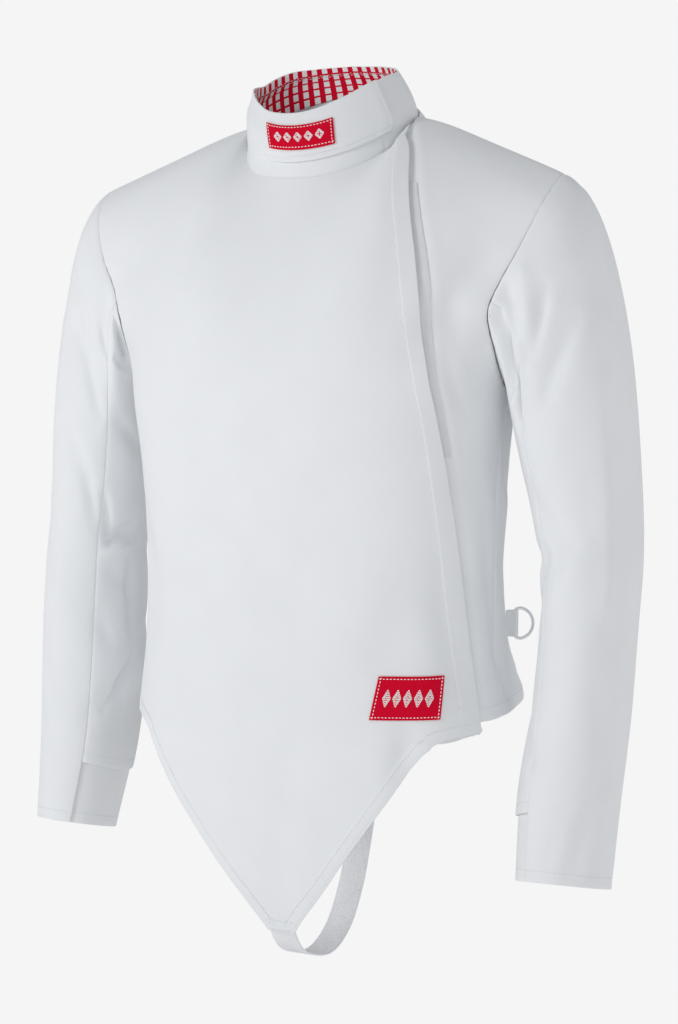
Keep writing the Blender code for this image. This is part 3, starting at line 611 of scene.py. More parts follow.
def fine_sleeve(turn, g, near=True):
    p = sleeve(turn, g)
    turn, g = np.broadcast_arrays(np.asarray(turn, float), np.asarray(g, float))
    z = np.minimum(p[..., 2], SLEEVE_RING_Z)
    axis = np.stack([along(SLEEVE, "cx", z), along(SLEEVE, "cy", z), p[..., 2]], -1)
    relief = sleeve_relief(turn, p[..., 2], ease(g * 9), near)
    return p - unit(p - axis) * relief[..., None]


def spaced(width, step, marks=(), start=True, end=True):
    """Places from 0 to width about a step apart, closer beside seams and stitch lines."""
    places = list(np.linspace(0, width, max(2, int(round(width / step)) + 1)))
    close = [0.7, 1.5, 2.6]
    if start:
        places += close
    if end:
        places += [width - c for c in close]
    for mark in marks:
        places += [mark - 1.3, mark - 0.5, mark + 0.5, mark + 1.3]
    places = np.array(sorted(p for p in places if 0 <= p <= width))
    keep = np.concatenate([[True], np.diff(places) > 0.3])
    keep[-1] = True
    return places[keep]


def run_lengths(p, axis):
    """Distance along each row (axis 1) or column (axis 0) of a grid."""
    steps = np.linalg.norm(np.diff(p, axis=axis), axis=-1)
    start = np.zeros_like(np.take(steps, [0], axis=axis))
    return np.concatenate([start, np.cumsum(steps, axis=axis)], axis=axis)


def rim_loop(rows, cols):
    """Outline of a grid as index pairs, with the side that each point lies on."""
    loop = [(0, c, "top") for c in range(cols)] + [(r, cols - 1, "right") for r in range(1, rows)]
    loop += [(rows - 1, c, "bottom") for c in range(cols - 2, -1, -1)]
    loop += [(r, 0, "left") for r in range(rows - 2, 0, -1)]
    return loop


def make_mesh(name, points, faces, material, cut=None, smooth_angle=50):
    mesh = bpy.data.meshes.new(name)
    mesh.from_pydata((np.asarray(points) * MM).tolist(), [], faces)
    if cut is not None:
        layer = mesh.attributes.new("cut", "FLOAT_VECTOR", "POINT")
        layer.data.foreach_set("vector", np.asarray(cut, np.float32).ravel())
    mesh.materials.append(material)
    mesh.shade_smooth()
    mesh.set_sharp_from_angle(angle=math.radians(smooth_angle))
    piece = bpy.data.objects.new(name, mesh)
    bpy.context.scene.collection.objects.link(piece)
    return piece


def grid_faces(rows, cols, first=0, flip=False):
    """Quads of a grid whose points start at an index."""
    index = first + np.arange(rows * cols).reshape(rows, cols)
    quads = np.stack([index[:-1, :-1], index[1:, :-1], index[1:, 1:], index[:-1, 1:]], -1).reshape(-1, 4)
    return (quads[:, ::-1] if flip else quads).tolist()


def make_shell(name, outer, wall, material, free="", on_body=False, cut=None):
    """Cloth of a wall's thickness under a grid; its free edges are rounded."""
    rows, cols = outer.shape[:2]
    n = grid_normals(outer)
    wall = np.broadcast_to(np.asarray(wall, float), (rows, cols))
    inner = outer - n * wall[..., None]
    if on_body:
        around = np.unwrap(np.arctan2(outer[..., 0], -outer[..., 1]), axis=1)
        cut = np.stack([np.degrees(around) * BODY_SPAN, -outer[..., 2], 0 * around], -1)
    elif cut is None:
        cut = np.stack([run_lengths(outer, 1), run_lengths(outer, 0), 0 * outer[..., 0]], -1)
    points = [outer.reshape(-1, 3), inner.reshape(-1, 3)]
    cuts = [cut.reshape(-1, 3), cut.reshape(-1, 3)]
    faces = grid_faces(rows, cols, 0) + grid_faces(rows, cols, rows * cols, True)
    loop = rim_loop(rows, cols)
    r = np.array([k[0] for k in loop])
    c = np.array([k[1] for k in loop])
    edge, through = outer[r, c], n[r, c] * wall[r, c, None] / 2
    runs = unit(np.roll(edge, -1, axis=0) - np.roll(edge, 1, axis=0))
    out = unit(np.cross(n[r, c], runs))
    centre = outer[np.clip(r, 1, rows - 2), np.clip(c, 1, cols - 2)]
    out *= np.sign(np.einsum("ij,ij->i", out, edge - centre))[:, None]
    bulge = np.array([1.0 if k[2] in free.split() else 0.0 for k in loop])
    bulge = np.minimum(bulge, np.minimum(np.roll(bulge, 1), np.roll(bulge, -1)))
    outward = out * (bulge * wall[r, c] / 2)[:, None]
    tracks = [r * cols + c]
    for k, angle in enumerate((45, 90, 135)):
        a = math.radians(angle)
        points.append(edge - through + through * math.cos(a) + outward * math.sin(a))
        cuts.append(cut[r, c])
        tracks.append(2 * rows * cols + k * len(loop) + np.arange(len(loop)))
    tracks.append(r * cols + c + rows * cols)
    for a, b in zip(tracks[:-1], tracks[1:]):
        faces += np.stack([a, np.roll(a, -1), np.roll(b, -1), b], -1).tolist()
    return make_mesh(name, np.concatenate(points), faces, material, np.concatenate(cuts))


def edge_distance(outer, side):
    """Millimetres from one side of a grid, along its rows or columns."""
    if side in ("left", "right"):
        d = run_lengths(outer, 1)
        return d if side == "left" else d[:, -1:] - d
    d = run_lengths(outer, 0)
    return d if side == "top" else d[-1:] - d


def seamed(outer, seams, lines=()):
    """Rounds a panel down into its seams and sinks it slightly under rows of topstitching."""
    n = grid_normals(outer)
    dip = np.zeros(outer.shape[:2])
    for side, depth in seams.items():
        d = edge_distance(outer, side)
        place = run_lengths(outer, 0 if side in ("left", "right") else 1)
        pucker = 0.5 + 0.5 * np.sin(place / 2.1 + 1.5 * np.sin(place / 17.0))
        dip += depth * np.exp(-(d / 1.4) ** 2) + PUCKER * pucker * np.exp(-(d / 6.0) ** 2)
    for side, at in lines:
        d = edge_distance(outer, side)
        place = run_lengths(outer, 0 if side in ("left", "right") else 1)
        pucker = 0.5 + 0.5 * np.sin(place / 1.9 + 1.5 * np.sin(place / 13.0))
        dip += STITCH_DIP * np.exp(-((d - at) / 0.9) ** 2) + 0.6 * PUCKER * pucker * np.exp(-((d - at) / 4.0) ** 2)
    return outer - n * dip[..., None]


def line_on(outer, side, at):
    """Points and normals of a line at a distance from one side of a grid."""
    n = grid_normals(outer)
    d = edge_distance(outer, side)
    if side in ("top", "bottom"):
        outer, n, d = outer.transpose(1, 0, 2), n.transpose(1, 0, 2), d.T
    if side in ("right", "bottom"):
        outer, n, d = outer[:, ::-1], n[:, ::-1], d[:, ::-1]
    points, ups = [], []
    for row in range(len(outer)):
        points.append([np.interp(at, d[row], outer[row, :, k]) for k in range(3)])
        ups.append([np.interp(at, d[row], n[row, :, k]) for k in range(3)])
    return np.array(points), unit(np.array(ups))


def stitch_row(points, ups, length=2.6, gap=1.0, radius=0.27):
    """Thread stitches along a line: short rounded bars, each a little sunk at its ends."""
    lengths = np.concatenate([[0], np.cumsum(np.linalg.norm(np.diff(points, axis=0), axis=1))])
    count = int(lengths[-1] // (length + gap))
    if count < 1:
        return []
    middle = (np.arange(count) + 0.5) * lengths[-1] / count
    at = np.stack([np.interp(middle, lengths, points[:, k]) for k in range(3)], -1)
    up = unit(np.stack([np.interp(middle, lengths, ups[:, k]) for k in range(3)], -1))
    ahead = np.stack([np.interp(middle + 0.5, lengths, points[:, k]) for k in range(3)], -1)
    behind = np.stack([np.interp(middle - 0.5, lengths, points[:, k]) for k in range(3)], -1)
    along_line = unit(ahead - behind)
    return [(at + up * radius * 0.35, along_line, up, length, radius)]


def make_stitches(name, rows, material, body="jacket"):
    """One mesh for many rows of stitches."""
    stations = [(-0.5, 0.0, -1.0), (-0.42, 0.75, -0.4), (0.0, 1.0, 0.25), (0.42, 0.75, -0.4), (0.5, 0.0, -1.0)]
    sides = 5
    points, faces, base = [], [], 0
    for at, run, up, length, radius in rows:
        side = unit(np.cross(run, up))
        template = []
        for s, r, lift in stations:
            for k in range(sides):
                a = 2 * math.pi * k / sides
                template.append((s * length, max(r, 0.25) * radius * math.cos(a),
                                 max(r, 0.25) * radius * math.sin(a) + lift * radius * 0.5))
        template = np.array(template)
        placed = (at[:, None] + run[:, None] * template[None, :, :1] + side[:, None] * template[None, :, 1:2]
                  + up[:, None] * template[None, :, 2:3])
        points.append(placed.reshape(-1, 3))
        block = []
        for j in range(len(stations) - 1):
            for k in range(sides):
                m = (k + 1) % sides
                block.append((j * sides + k, j * sides + m, (j + 1) * sides + m, (j + 1) * sides + k))
        block = np.array(block)
        ends = np.array([list(range(sides)), list(range(sides * len(stations) - sides, sides * len(stations)))])
        offsets = base + np.arange(len(at)) * len(template)
        faces += (offsets[:, None, None] + block[None]).reshape(-1, 4).tolist()
        faces += (offsets[:, None] + ends[0][None]).tolist()
        faces += (offsets[:, None] + ends[1][None, ::-1]).tolist()
        base += len(at) * len(template)
    piece = make_mesh(name, np.concatenate(points), faces, material, smooth_angle=80)
    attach(piece, body)
    return piece


def mirrored(grid):
    return (grid * np.array([-1.0, 1.0, 1.0]))[:, ::-1]


def node(tree, kind, **inputs):
    made = tree.nodes.new(kind)
    for key, value in inputs.items():
        made.inputs[key.replace("_", " ")].default_value = value
    return made


def math_node(tree, operation, a, b=0.0, c=0.0):
    made = tree.nodes.new("ShaderNodeMath")
    made.operation = operation
    for slot, value in enumerate((a, b, c)):
        if isinstance(value, (int, float)):
            made.inputs[slot].default_value = value
        else:
            tree.links.new(value, made.inputs[slot])
    return made.outputs[0]


def start_material(name, colour, roughness, sheen=0.0, metallic=0.0, specular=0.3):
    material = bpy.data.materials.new(name)
    material.use_nodes = True
    shader = material.node_tree.nodes["Principled BSDF"]
    shader.inputs["Base Color"].default_value = (*colour, 1.0)
    shader.inputs["Roughness"].default_value = roughness
    shader.inputs["Metallic"].default_value = metallic
    shader.inputs["Specular IOR Level"].default_value = specular
    shader.inputs["Sheen Weight"].default_value = sheen
    shader.inputs["Sheen Roughness"].default_value = 0.5
    return material, material.node_tree, shader


def cut_place(tree):
    """Place on the flat cut in millimetres, across and along the cloth."""
    place = tree.nodes.new("ShaderNodeAttribute")
    place.attribute_name = "cut"
    split = tree.nodes.new("ShaderNodeSeparateXYZ")
    tree.links.new(place.outputs["Vector"], split.inputs[0])
    return split.outputs[0], split.outputs[1], place.outputs["Vector"]


def weave_height(tree, across, down, pitch, twill=True):
    """Height of a woven surface: diagonal ribs crossed by single threads."""
    rib = math_node(tree, "ADD", across, down) if twill else across
    ribs = math_node(tree, "SINE", math_node(tree, "MULTIPLY", rib, 2 * math.pi / pitch))
    threads = math_node(tree, "SINE", math_node(tree, "MULTIPLY", down, 2 * math.pi / (pitch * 0.8)))
    return math_node(tree, "ADD", ribs, math_node(tree, "MULTIPLY", threads, 0.5))


def add_bump(tree, shader, height, strength, distance):
    bump = tree.nodes.new("ShaderNodeBump")
    bump.inputs["Strength"].default_value = strength
    bump.inputs["Distance"].default_value = distance * MM
    tree.links.new(height, bump.inputs["Height"])
    tree.links.new(bump.outputs[0], shader.inputs["Normal"])


def tinted(tree, shader, colour, place, scale, spread):
    """Slight uneven tone over the cloth."""
    noise = node(tree, "ShaderNodeTexNoise", Scale=scale, Detail=3.0)
    tree.links.new(place, noise.inputs["Vector"])
    ramp = tree.nodes.new("ShaderNodeValToRGB")
    ramp.color_ramp.elements[0].position = 0.3
    ramp.color_ramp.elements[0].color = (*[c * (1 - spread) for c in colour], 1)
    ramp.color_ramp.elements[1].position = 0.7
    ramp.color_ramp.elements[1].color = (*colour, 1)
    tree.links.new(noise.outputs["Fac"], ramp.inputs["Fac"])
    tree.links.new(ramp.outputs["Color"], shader.inputs["Base Color"])


def cloth_material(name, colour, pitch=0.9, strength=0.35, sheen=0.12):
    material, tree, shader = start_material(name, colour, 0.86, sheen=sheen, specular=sheen * 2)
    across, down, place = cut_place(tree)
    add_bump(tree, shader, weave_height(tree, across, down, pitch), strength, 0.06)
    tinted(tree, shader, colour, place, 0.02, 0.025)
    return material


def check_material():
    """Red lining with a plain check of white panes."""
    material, tree, shader = start_material("check_lining", RED, 0.8, sheen=0.02, specular=0.05)
    across, down, place = cut_place(tree)
    panes = []
    for way, pitch, share in ((across, CHECK_ACROSS, PANE_WIDTH), (down, CHECK_DOWN, PANE_HEIGHT)):
        part = math_node(tree, "FRACT", math_node(tree, "DIVIDE", way, pitch))
        panes.append(math_node(tree, "LESS_THAN", part, share))
    lines = math_node(tree, "MULTIPLY", panes[0], panes[1])
    mix = tree.nodes.new("ShaderNodeMix")
    mix.data_type = "RGBA"
    mix.inputs["A"].default_value = (*RED, 1)
    mix.inputs["B"].default_value = (*PURE_WHITE, 1)
    tree.links.new(lines, mix.inputs["Factor"])
    tree.links.new(mix.outputs["Result"], shader.inputs["Base Color"])
    add_bump(tree, shader, weave_height(tree, across, down, 0.5, False), 0.3, 0.05)
    return material


def ribbed_material(name, colour, pitch):
    material, tree, shader = start_material(name, colour, 0.8, sheen=0.1)
    across, down, place = cut_place(tree)
    height = weave_height(tree, across, down, pitch, False)
    add_bump(tree, shader, height, 0.6, 0.15)
    tinted(tree, shader, colour, place, 0.05, 0.05)
    return material


def metal_material():
    material, tree, shader = start_material("ring_metal", METAL, 0.4, metallic=0.35, specular=0.5)
    noise = node(tree, "ShaderNodeTexNoise", Scale=900.0, Detail=4.0)
    coordinates = tree.nodes.new("ShaderNodeTexCoord")
    tree.links.new(coordinates.outputs["Object"], noise.inputs["Vector"])
    roughness = node(tree, "ShaderNodeMapRange", To_Min=0.26, To_Max=0.42)
    tree.links.new(noise.outputs["Fac"], roughness.inputs["Value"])
    tree.links.new(roughness.outputs["Result"], shader.inputs["Roughness"])
    add_bump(tree, shader, noise.outputs["Fac"], 0.1, 0.02)
    return material


def finish_piece(piece, nodes, body="jacket"):
    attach(piece, body)
    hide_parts(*nodes)
    return piece


def panel(name, grid, free):
    piece = make_shell(name + "_cloth", grid, SHELL, white, free, name[:5] in ("front", "back"))
    finish_piece(piece, [name])
    return piece


def upper_turns(step=2.5):
    """Armhole turns from the shoulder tip to the armpit, which set the rows above the chest."""
    return np.radians(np.arange(0, 180 + step / 2, step))


def upper_levels():
    return (1 + np.cos(upper_turns())) / 2


def lower_z(end, step=4.0):
    return np.linspace(CHEST_Z, end, int(round((CHEST_Z - end) / step)) + 1)[1:]


def softened(grid, last=None):
    """Smooths a panel where it turns in below the armhole, all but its side edges."""
    rows = grid[:last]
    z = rows[:, grid.shape[1] // 2, 2]
    weight = np.exp(-((z[:, None] - z[None]) / CHEST_BLUR) ** 2) * np.abs(np.gradient(z))[None]
    smooth = np.einsum("ij,jkl->ikl", weight / weight.sum(1, keepdims=True), rows)
    across = np.linspace(0, 1, grid.shape[1])
    inner = ease(across * 12) * ease((1 - across) * 12)
    near = np.exp(-((z - CHEST_Z) / CHEST_REACH) ** 2)
    return np.concatenate([rows + (near[:, None] * inner)[..., None] * (smooth - rows), grid[len(rows):]])


def notched_closing(v):
    """Closing edge, drawn in a little below its top corner."""
    return closing_turn(v) - math.radians(NOTCH_DEPTH) * np.exp(-((v - NOTCH_AT) / 0.035) ** 2)


def front_right_grid():
    """Wearer's right front, from its side seam across to the closing edge, and down the tongue."""
    open_share = spaced(RIGHT_WIDTH, 4.2, end=False) / RIGHT_WIDTH
    band_share = np.concatenate([[0.03, 0.07, 0.11, 0.16], np.linspace(0.22, 0.9, 6), [0.95, 0.98, 1.0]])
    neck = -math.radians(NECK_SHARE)

    def columns(v, edge):
        close, width = notched_closing(v), band_turn(v)
        top_start = closing_turn(1.0) - band_turn(1.0)
        at_top = np.interp(open_share, [0, 0.33, 1.0], [-math.pi / 2, neck, top_start])
        share = (at_top + math.pi / 2) / (top_start + math.pi / 2)
        return np.concatenate([edge + (close - width - edge) * share, close - width + width * band_share])

    rows = [fine_torso(columns(v, -armhole_body_turn(level_to_turn(v))), v) for v in upper_levels()]
    for z in lower_z(SIDE_HEM_Z):
        v = (z - CHEST_Z) / UNIT_DROP
        turns = columns(v, -math.pi / 2)
        rows.append(fine_torso(turns, v))
    share = (turns - turns[0]) / (turns[-1] - turns[0])
    levels = np.concatenate([np.arange(SIDE_HEM_Z - 0.8, -557, -0.8), np.arange(-558, -570, -2.0),
                             np.arange(-572, TONGUE_Z + 1, -3.5), [TONGUE_Z + 1.5, TONGUE_Z]])
    for z in levels:
        right, left = (math.radians(along(TONGUE, k, z)) for k in ("right_turn", "left_turn"))
        rows.append(fine_torso(right + (left - right) * share, (z - CHEST_Z) / UNIT_DROP))
    grid = np.array(rows)
    lift = np.zeros(grid.shape[:2])
    lift[:, -len(band_share):] = BAND_RISE * ease(band_share * 7)
    last = len(upper_levels()) + len(lower_z(SIDE_HEM_Z))
    fade = np.concatenate([ease(np.linspace(0, 1, 10)), np.ones(last - 18), ease(np.linspace(1, 0, 8))])
    lift[:last] *= fade[:, None]
    lift[last:] = 0
    away = tongue_distance(grid[last - 10:])
    lift[last - 10:] += HEM_RISE * (1 - ease((away - HEM_STITCH + 1.0) / 1.6)) * ease((away - 0.5) / 3.0)
    return moved_out(grid, lift), last, len(band_share)


def tongue_edge(step=1.0):
    """Places along the slanted hem, from the side seam round the tip to the closing edge."""
    z = np.arange(SIDE_HEM_Z - 3.0, TONGUE_Z, -step)
    right, left = (np.stack([along(TONGUE, k, z), z], -1) for k in ("right_turn", "left_turn"))
    tip = np.linspace(right[-1, 0], left[-1, 0], 30)
    return np.concatenate([right, np.stack([tip, 0 * tip + TONGUE_Z], -1), left[::-1]])


def tongue_distance(points):
    """Millimetres from each point to the slanted hem."""
    edge = on_body(*tongue_edge().T * np.array([[math.pi / 180], [1.0]]))
    flat = points.reshape(-1, 3)
    near = [np.linalg.norm(edge - q, axis=1).min() for q in flat]
    return np.array(near).reshape(points.shape[:-1])


def tongue_line(inset):
    """Stitch line that runs round the tongue at a distance inside its edge."""
    turn, z = tongue_edge(2.0).T
    turn = np.radians(turn)
    edge = on_body(turn, z)
    runs = unit(np.gradient(edge, axis=0))
    step = (on_body(turn + 0.01, z) - on_body(turn - 0.01, z)) / 0.02
    out = unit(edge * np.array([1.0, 1.0, 0.0]))
    inwards = unit(np.cross(runs, out))
    inwards *= np.sign(inwards[:, 2:])
    turn_in = turn + np.einsum("ij,ij->i", inwards, step) * inset / np.einsum("ij,ij->i", step, step)
    place = on_body(turn_in, z + inwards[:, 2] * inset)
    keep = np.abs(np.degrees(turn_in)) < 74
    up = unit(place * np.array([0.6, 1.0, 0.0]))
    return place[keep] + up[keep] * HEM_RISE, up[keep]


def front_left_grid():
    """Wearer's left front: under the edge, down the step beside it, then out to its side."""
    slope = np.radians([0.3, 0.9, 1.5, 2.1, 2.8, 3.5, 4.2, 5.0])
    sink_at = np.concatenate([np.full(5, 1.0), ease((5.0 - np.degrees(slope)) / 4.4)])

    def columns(v, last):
        close, lap = closing_turn(v), np.radians(along(UNDERLAP, "turn", v))
        brow = close + slope[-1]
        rest = spaced(LEFT_WIDTH, 4.2, start=False) / LEFT_WIDTH
        return np.concatenate([close - lap * np.array([1, 0.75, 0.5, 0.25, 0.0]), close + slope,
                               brow + (last - brow) * rest[1:]])

    rows = [fine_torso(columns(v, armhole_body_turn(level_to_turn(v))), v) for v in upper_levels()]
    for z in lower_z(LEFT_HEM_Z):
        v = (z - CHEST_Z) / UNIT_DROP
        rows.append(fine_torso(columns(v, math.pi / 2), v))
    grid = np.array(rows)
    sink = np.zeros(grid.shape[:2])
    sink[:, :len(sink_at)] = -LAP_DROP * sink_at
    return moved_out(grid, sink)


def back_grid():
    share = spaced(BACK_WIDTH, 4.4) / BACK_WIDTH
    rows = []
    for v in upper_levels():
        edge = armhole_body_turn(level_to_turn(v, False))
        even = edge + (2 * math.pi - 2 * edge) * share
        turn = np.where(even > math.pi, even - 2 * math.pi, even)
        rows.append(fine_torso(turn, v))
    turn = math.pi / 2 + math.pi * share
    turn = np.where(turn > math.pi, turn - 2 * math.pi, turn)
    side_hem = LEFT_HEM_Z + (SIDE_HEM_Z - LEFT_HEM_Z) * share
    hem = side_hem + (BACK_HEM_Z - side_hem) * ease(np.abs(np.sin(math.pi * share)) * 1.2)
    for t in spaced(CHEST_Z - SIDE_HEM_Z, 4.2, start=False)[1:] / (CHEST_Z - SIDE_HEM_Z):
        rows.append(fine_torso(turn, (CHEST_Z + (hem - CHEST_Z) * t - CHEST_Z) / UNIT_DROP))
    return np.array(rows)


def sleeve_grid(first, last, end_z, near, drop=0.0):
    """Rows from the armhole down; the lower ones hang lower in their middle by up to the drop."""
    width = abs(first - last) * SLEEVE_SPAN
    turns = np.radians(first + (last - first) * spaced(width, 2.8) / width)
    levels = [z for z in np.append(np.arange(SLEEVE_RING_Z, end_z + 1, -4.0)[1:], end_z)]
    cap = spaced(SLEEVE_CAP, 4.2, end=False) / SLEEVE_CAP
    rows = list(cap) + [1 + SLEEVE_RING_Z - z for z in levels]
    sag = drop * np.sin(math.pi * (turns - turns[0]) / (turns[-1] - turns[0]))
    return np.array([fine_sleeve(turns, g + sag * ease((g - rows[-1]) / 60.0 + 1), near) for g in rows])


def cuff_grid(near):
    turns = np.radians(np.linspace(258, 102, 56))
    levels = 1 + (SLEEVE_RING_Z - np.linspace(UNDER_HEM_Z + CUFF_TUCK, CUFF_Z, 18))
    grid = np.array([fine_sleeve(turns, g, near) for g in levels])
    return moved_out(grid, np.full(grid.shape[:2], -CUFF_INSET))


def make_panels():
    right, last, band_columns = front_right_grid()
    right = softened(right, last)
    right = np.concatenate([seamed(right[:last], {"left": SEAM_DIP}), right[last:]])
    panel("front_right", right, "right bottom left")
    band = right[6:last - 4, -band_columns]
    stitched = stitch_row(band, grid_normals(right)[6:last - 4, -band_columns])
    stitched += stitch_row(*tongue_line(HEM_STITCH))
    stitched += bar_tack(0.0, TONGUE_Z + 5.0, 21.0, 7.0)
    left = seamed(softened(front_left_grid()), {"right": SEAM_DIP}, [("bottom", HEM_STITCH)])
    panel("front_left", left, "left bottom")
    back = seamed(softened(back_grid()), {"left": SEAM_DIP, "right": SEAM_DIP}, [("bottom", HEM_STITCH)])
    panel("back", back, "bottom")
    stitched += stitch_row(*line_on(back, "bottom", HEM_STITCH))
    stitched += stitch_row(*line_on(left, "bottom", HEM_STITCH))
    make_stitches("body_stitching", stitched, thread)
    for side, near in (("left", True), ("right", False)):
        lap = {"top": SEAM_DIP, "left": SEAM_LAP, "right": SEAM_LAP}
        top = seamed(sleeve_grid(105, -105, CUFF_Z, near), lap, [("bottom", CUFF_STITCH)])
        sunk = {"top": SEAM_DIP, "left": UNDER_DIP, "right": UNDER_DIP}
        under = seamed(sleeve_grid(255, 105, UNDER_HEM_Z, near, UNDER_HEM_DROP), sunk, [("bottom", CUFF_STITCH)])
        cuff = cuff_grid(near)
        if not near:
            top, under, cuff = mirrored(top), mirrored(under), mirrored(cuff)
        panel(f"sleeve_{side}_top", top, "bottom left right")
        panel(f"sleeve_{side}_under", under, "bottom")
        panel(f"cuff_{side}", cuff, "bottom top")
        rows = []
        for grid in (top, under, cuff):
            rows += stitch_row(*line_on(grid, "bottom", CUFF_STITCH))
        make_stitches(f"sleeve_{side}_stitching", rows, thread)
    return right, left


def bar_tack(turn, z, width, height):
    """Stitched box where the strap is sewn to the tongue's tip."""
    rows = []
    span = math.degrees(width / 2 / np.linalg.norm(on_body(turn, z)[:2]))
    corners = [(-span, height / 2), (span, height / 2), (span, -height / 2), (-span, -height / 2), (-span, height / 2)]
    for (t0, z0), (t1, z1) in zip(corners[:-1], corners[1:]):
        t, up = np.radians(np.linspace(t0, t1, 12)), z + np.linspace(z0, z1, 12)
        line = on_body(t, up)
        out = unit(line * np.array([0.6, 1.0, 0.0]))
        rows += stitch_row(line + out * 0.3, out, 2.0, 0.8)
    return rows


def worn_collar(turns, heights):
    """Collar whose rim leans in on the wearer's right and dips on the left; its foot flares out."""
    turns, heights = np.broadcast_arrays(turns, heights)
    grid = collar(turns, heights)
    lean = np.maximum(-np.sin(turns), 0) ** 2 * ease((heights - 0.55) / 0.45)
    out = np.stack([np.sin(turns), -np.cos(turns), 0 * turns], -1)
    grid = grid - (out * RIM_LEAN + np.array([0, 0, RIM_SINK])) * lean[..., None]
    around = np.degrees(np.arctan2(np.sin(turns), np.cos(turns)))
    dip = RIM_DIP * np.exp(-((around - 68.0) / 22.0) ** 2) * ease(heights)
    flare = FOOT_FLARE * np.exp(-np.maximum(heights, 0) / 0.08) * ease(-(np.sin(turns) + 0.2) / 0.5)
    return grid + out * flare[..., None] - np.array([0, 0, 1.0]) * dip[..., None]


def stand_wall(heights):
    """Wall of the collar stand, which thins out towards its rim."""
    return COLLAR_WALL - RIM_THINNING * ease((heights - 0.80) / 0.18)


def collar_part(turns, heights, lift):
    grid = worn_collar(turns[None, :], heights[:, None])
    return moved_out(grid, np.broadcast_to(lift, grid.shape[:2]))


def make_collar():
    slit = math.radians(60.0)
    turns = slit + np.linspace(0.004, 2 * math.pi - 0.004, 170)
    heights = np.concatenate([np.linspace(1.0, 0.86, 9), np.linspace(0.82, -0.06, 22)])
    stand = collar_part(turns, heights, 0.0)
    finish_piece(make_shell("collar_stand_cloth", stand, stand_wall(heights)[:, None], white, "top left right"),
                 ["collar_stand"])
    heights = np.linspace(0.99, 0.06, 30)
    lining = collar_part(turns, heights, -(stand_wall(heights) + 0.05)[:, None])
    around, down = np.broadcast_arrays(turns[None, :] * RIM["half_width"], (1 - heights[:, None]) * COLLAR_HEIGHT)
    cut = np.stack([around, down, 0 * around], -1)
    finish_piece(make_shell("collar_lining_cloth", lining, LINING_WALL, lining_cloth, "top", cut=cut),
                 ["collar_lining"])
    rows = []
    for height in np.linspace(1.0, FLAP_LOW, 30):
        end = math.radians(along(FLAP_END, "turn", height))
        rows.append(worn_collar(np.linspace(math.radians(-38), end, 100), height))
    bare = np.array(rows)
    across = np.linspace(-38, 66, 100)
    started, curled = ease((across + 38) / 30), ease((across - 52) / 14)
    flap = moved_out(bare, 0.05 + (LAYER_GAP + FLAP_WALL) * started + FLAP_CURL * curled + 0 * bare[..., 0])
    flap = seamed(flap, {}, [("right", FLAP_STITCH), ("bottom", FLAP_STITCH)])
    finish_piece(make_shell("collar_flap_cloth", flap, FLAP_WALL, white, "top bottom right"),
                 ["collar_flap"])
    rows = stitch_row(*line_on(flap, "right", FLAP_STITCH)) + stitch_row(*line_on(flap[:, 35:], "bottom", FLAP_STITCH))
    rows += stitch_row(*line_on(stand[:, 2:22], "top", 3.0))
    make_stitches("collar_stitching", rows, thread)
    inside = moved_out(lining, np.full(lining.shape[:2], -LINING_WALL))
    rows = []
    for drop in (LINING_STITCH, LINING_STITCH + 1.8):
        line, out = line_on(inside, "top", drop)
        rows += stitch_row(line, -out, 2.4, 1.2, 0.3)
    make_stitches("lining_stitching", rows, thread)
    lift = LAYER_GAP + FLAP_WALL + LAYER_GAP + PATCH_WALL
    share, level = np.linspace(0, 1, 64)[None, :], np.linspace(0, 1, 28)[:, None]
    left, right = -21.0 + 3.5 * level, 29.0 - level
    bare = worn_collar(np.radians(left + (right - left) * share), 0.81 - 0.04 * share - 0.37 * level)
    raised = moved_out(bare, np.full(bare.shape[:2], lift))
    make_patch("collar_label", raised)


def make_patch(name, grid):
    """Woven red patch with a stitched border and a plain row of lozenges."""
    finish_piece(make_shell(name + "_cloth", grid, PATCH_WALL, red, "top bottom left right"),
                 [name])
    rows = []
    for side in ("top", "bottom", "left", "right"):
        rows += stitch_row(*line_on(grid, side, 2.0), 1.9, 1.1, 0.45)
    n = grid_normals(grid)
    high, wide = grid.shape[0] - 1, grid.shape[1] - 1
    for k in range(LOZENGES):
        centre = 0.5 + (k - (LOZENGES - 1) / 2) * 0.155
        corners = [(-0.20, 0.0), (0.0, 0.058), (0.20, 0.0), (0.0, -0.058), (-0.20, 0.0)]
        for size in (1.0, 0.72, 0.44, 0.16):
            for (y0, x0), (y1, x1) in zip(corners[:-1], corners[1:]):
                t = np.linspace(0, 1, 9)
                r = (0.5 + (y0 + (y1 - y0) * t) * size) * high
                c = (centre + (x0 + (x1 - x0) * t) * size) * wide
                rows += stitch_row(sampled(grid, r, c), unit(sampled(n, r, c)), 1.3, 0.1, 0.55)
    make_stitches(name + "_stitching", rows, label_thread)


def sampled(grid, r, c):
    """Values of a grid between its rows and columns."""
    i, j = np.minimum(r.astype(int), grid.shape[0] - 2), np.minimum(c.astype(int), grid.shape[1] - 2)
    u, w = (r - i)[:, None], (c - j)[:, None]
    return ((grid[i, j] * (1 - w) + grid[i, j + 1] * w) * (1 - u)
            + (grid[i + 1, j] * (1 - w) + grid[i + 1, j + 1] * w) * u)


def on_body(turn, z):
    return fine_torso(np.asarray(turn, float), (np.asarray(z, float) - CHEST_Z) / UNIT_DROP)


def make_hem_label():
    share, level = np.linspace(0, 1, 56)[None, :], np.linspace(0, 1, 34)[:, None]
    left, right = 47.0 - 3.6 * level, 66.5 - 2.4 * level
    bare = on_body(np.radians(left + (right - left) * share), -491.5 - 37.0 * level + 0 * share)
    make_patch("hem_label", moved_out(bare, np.full(bare.shape[:2], LAYER_GAP + PATCH_WALL)))


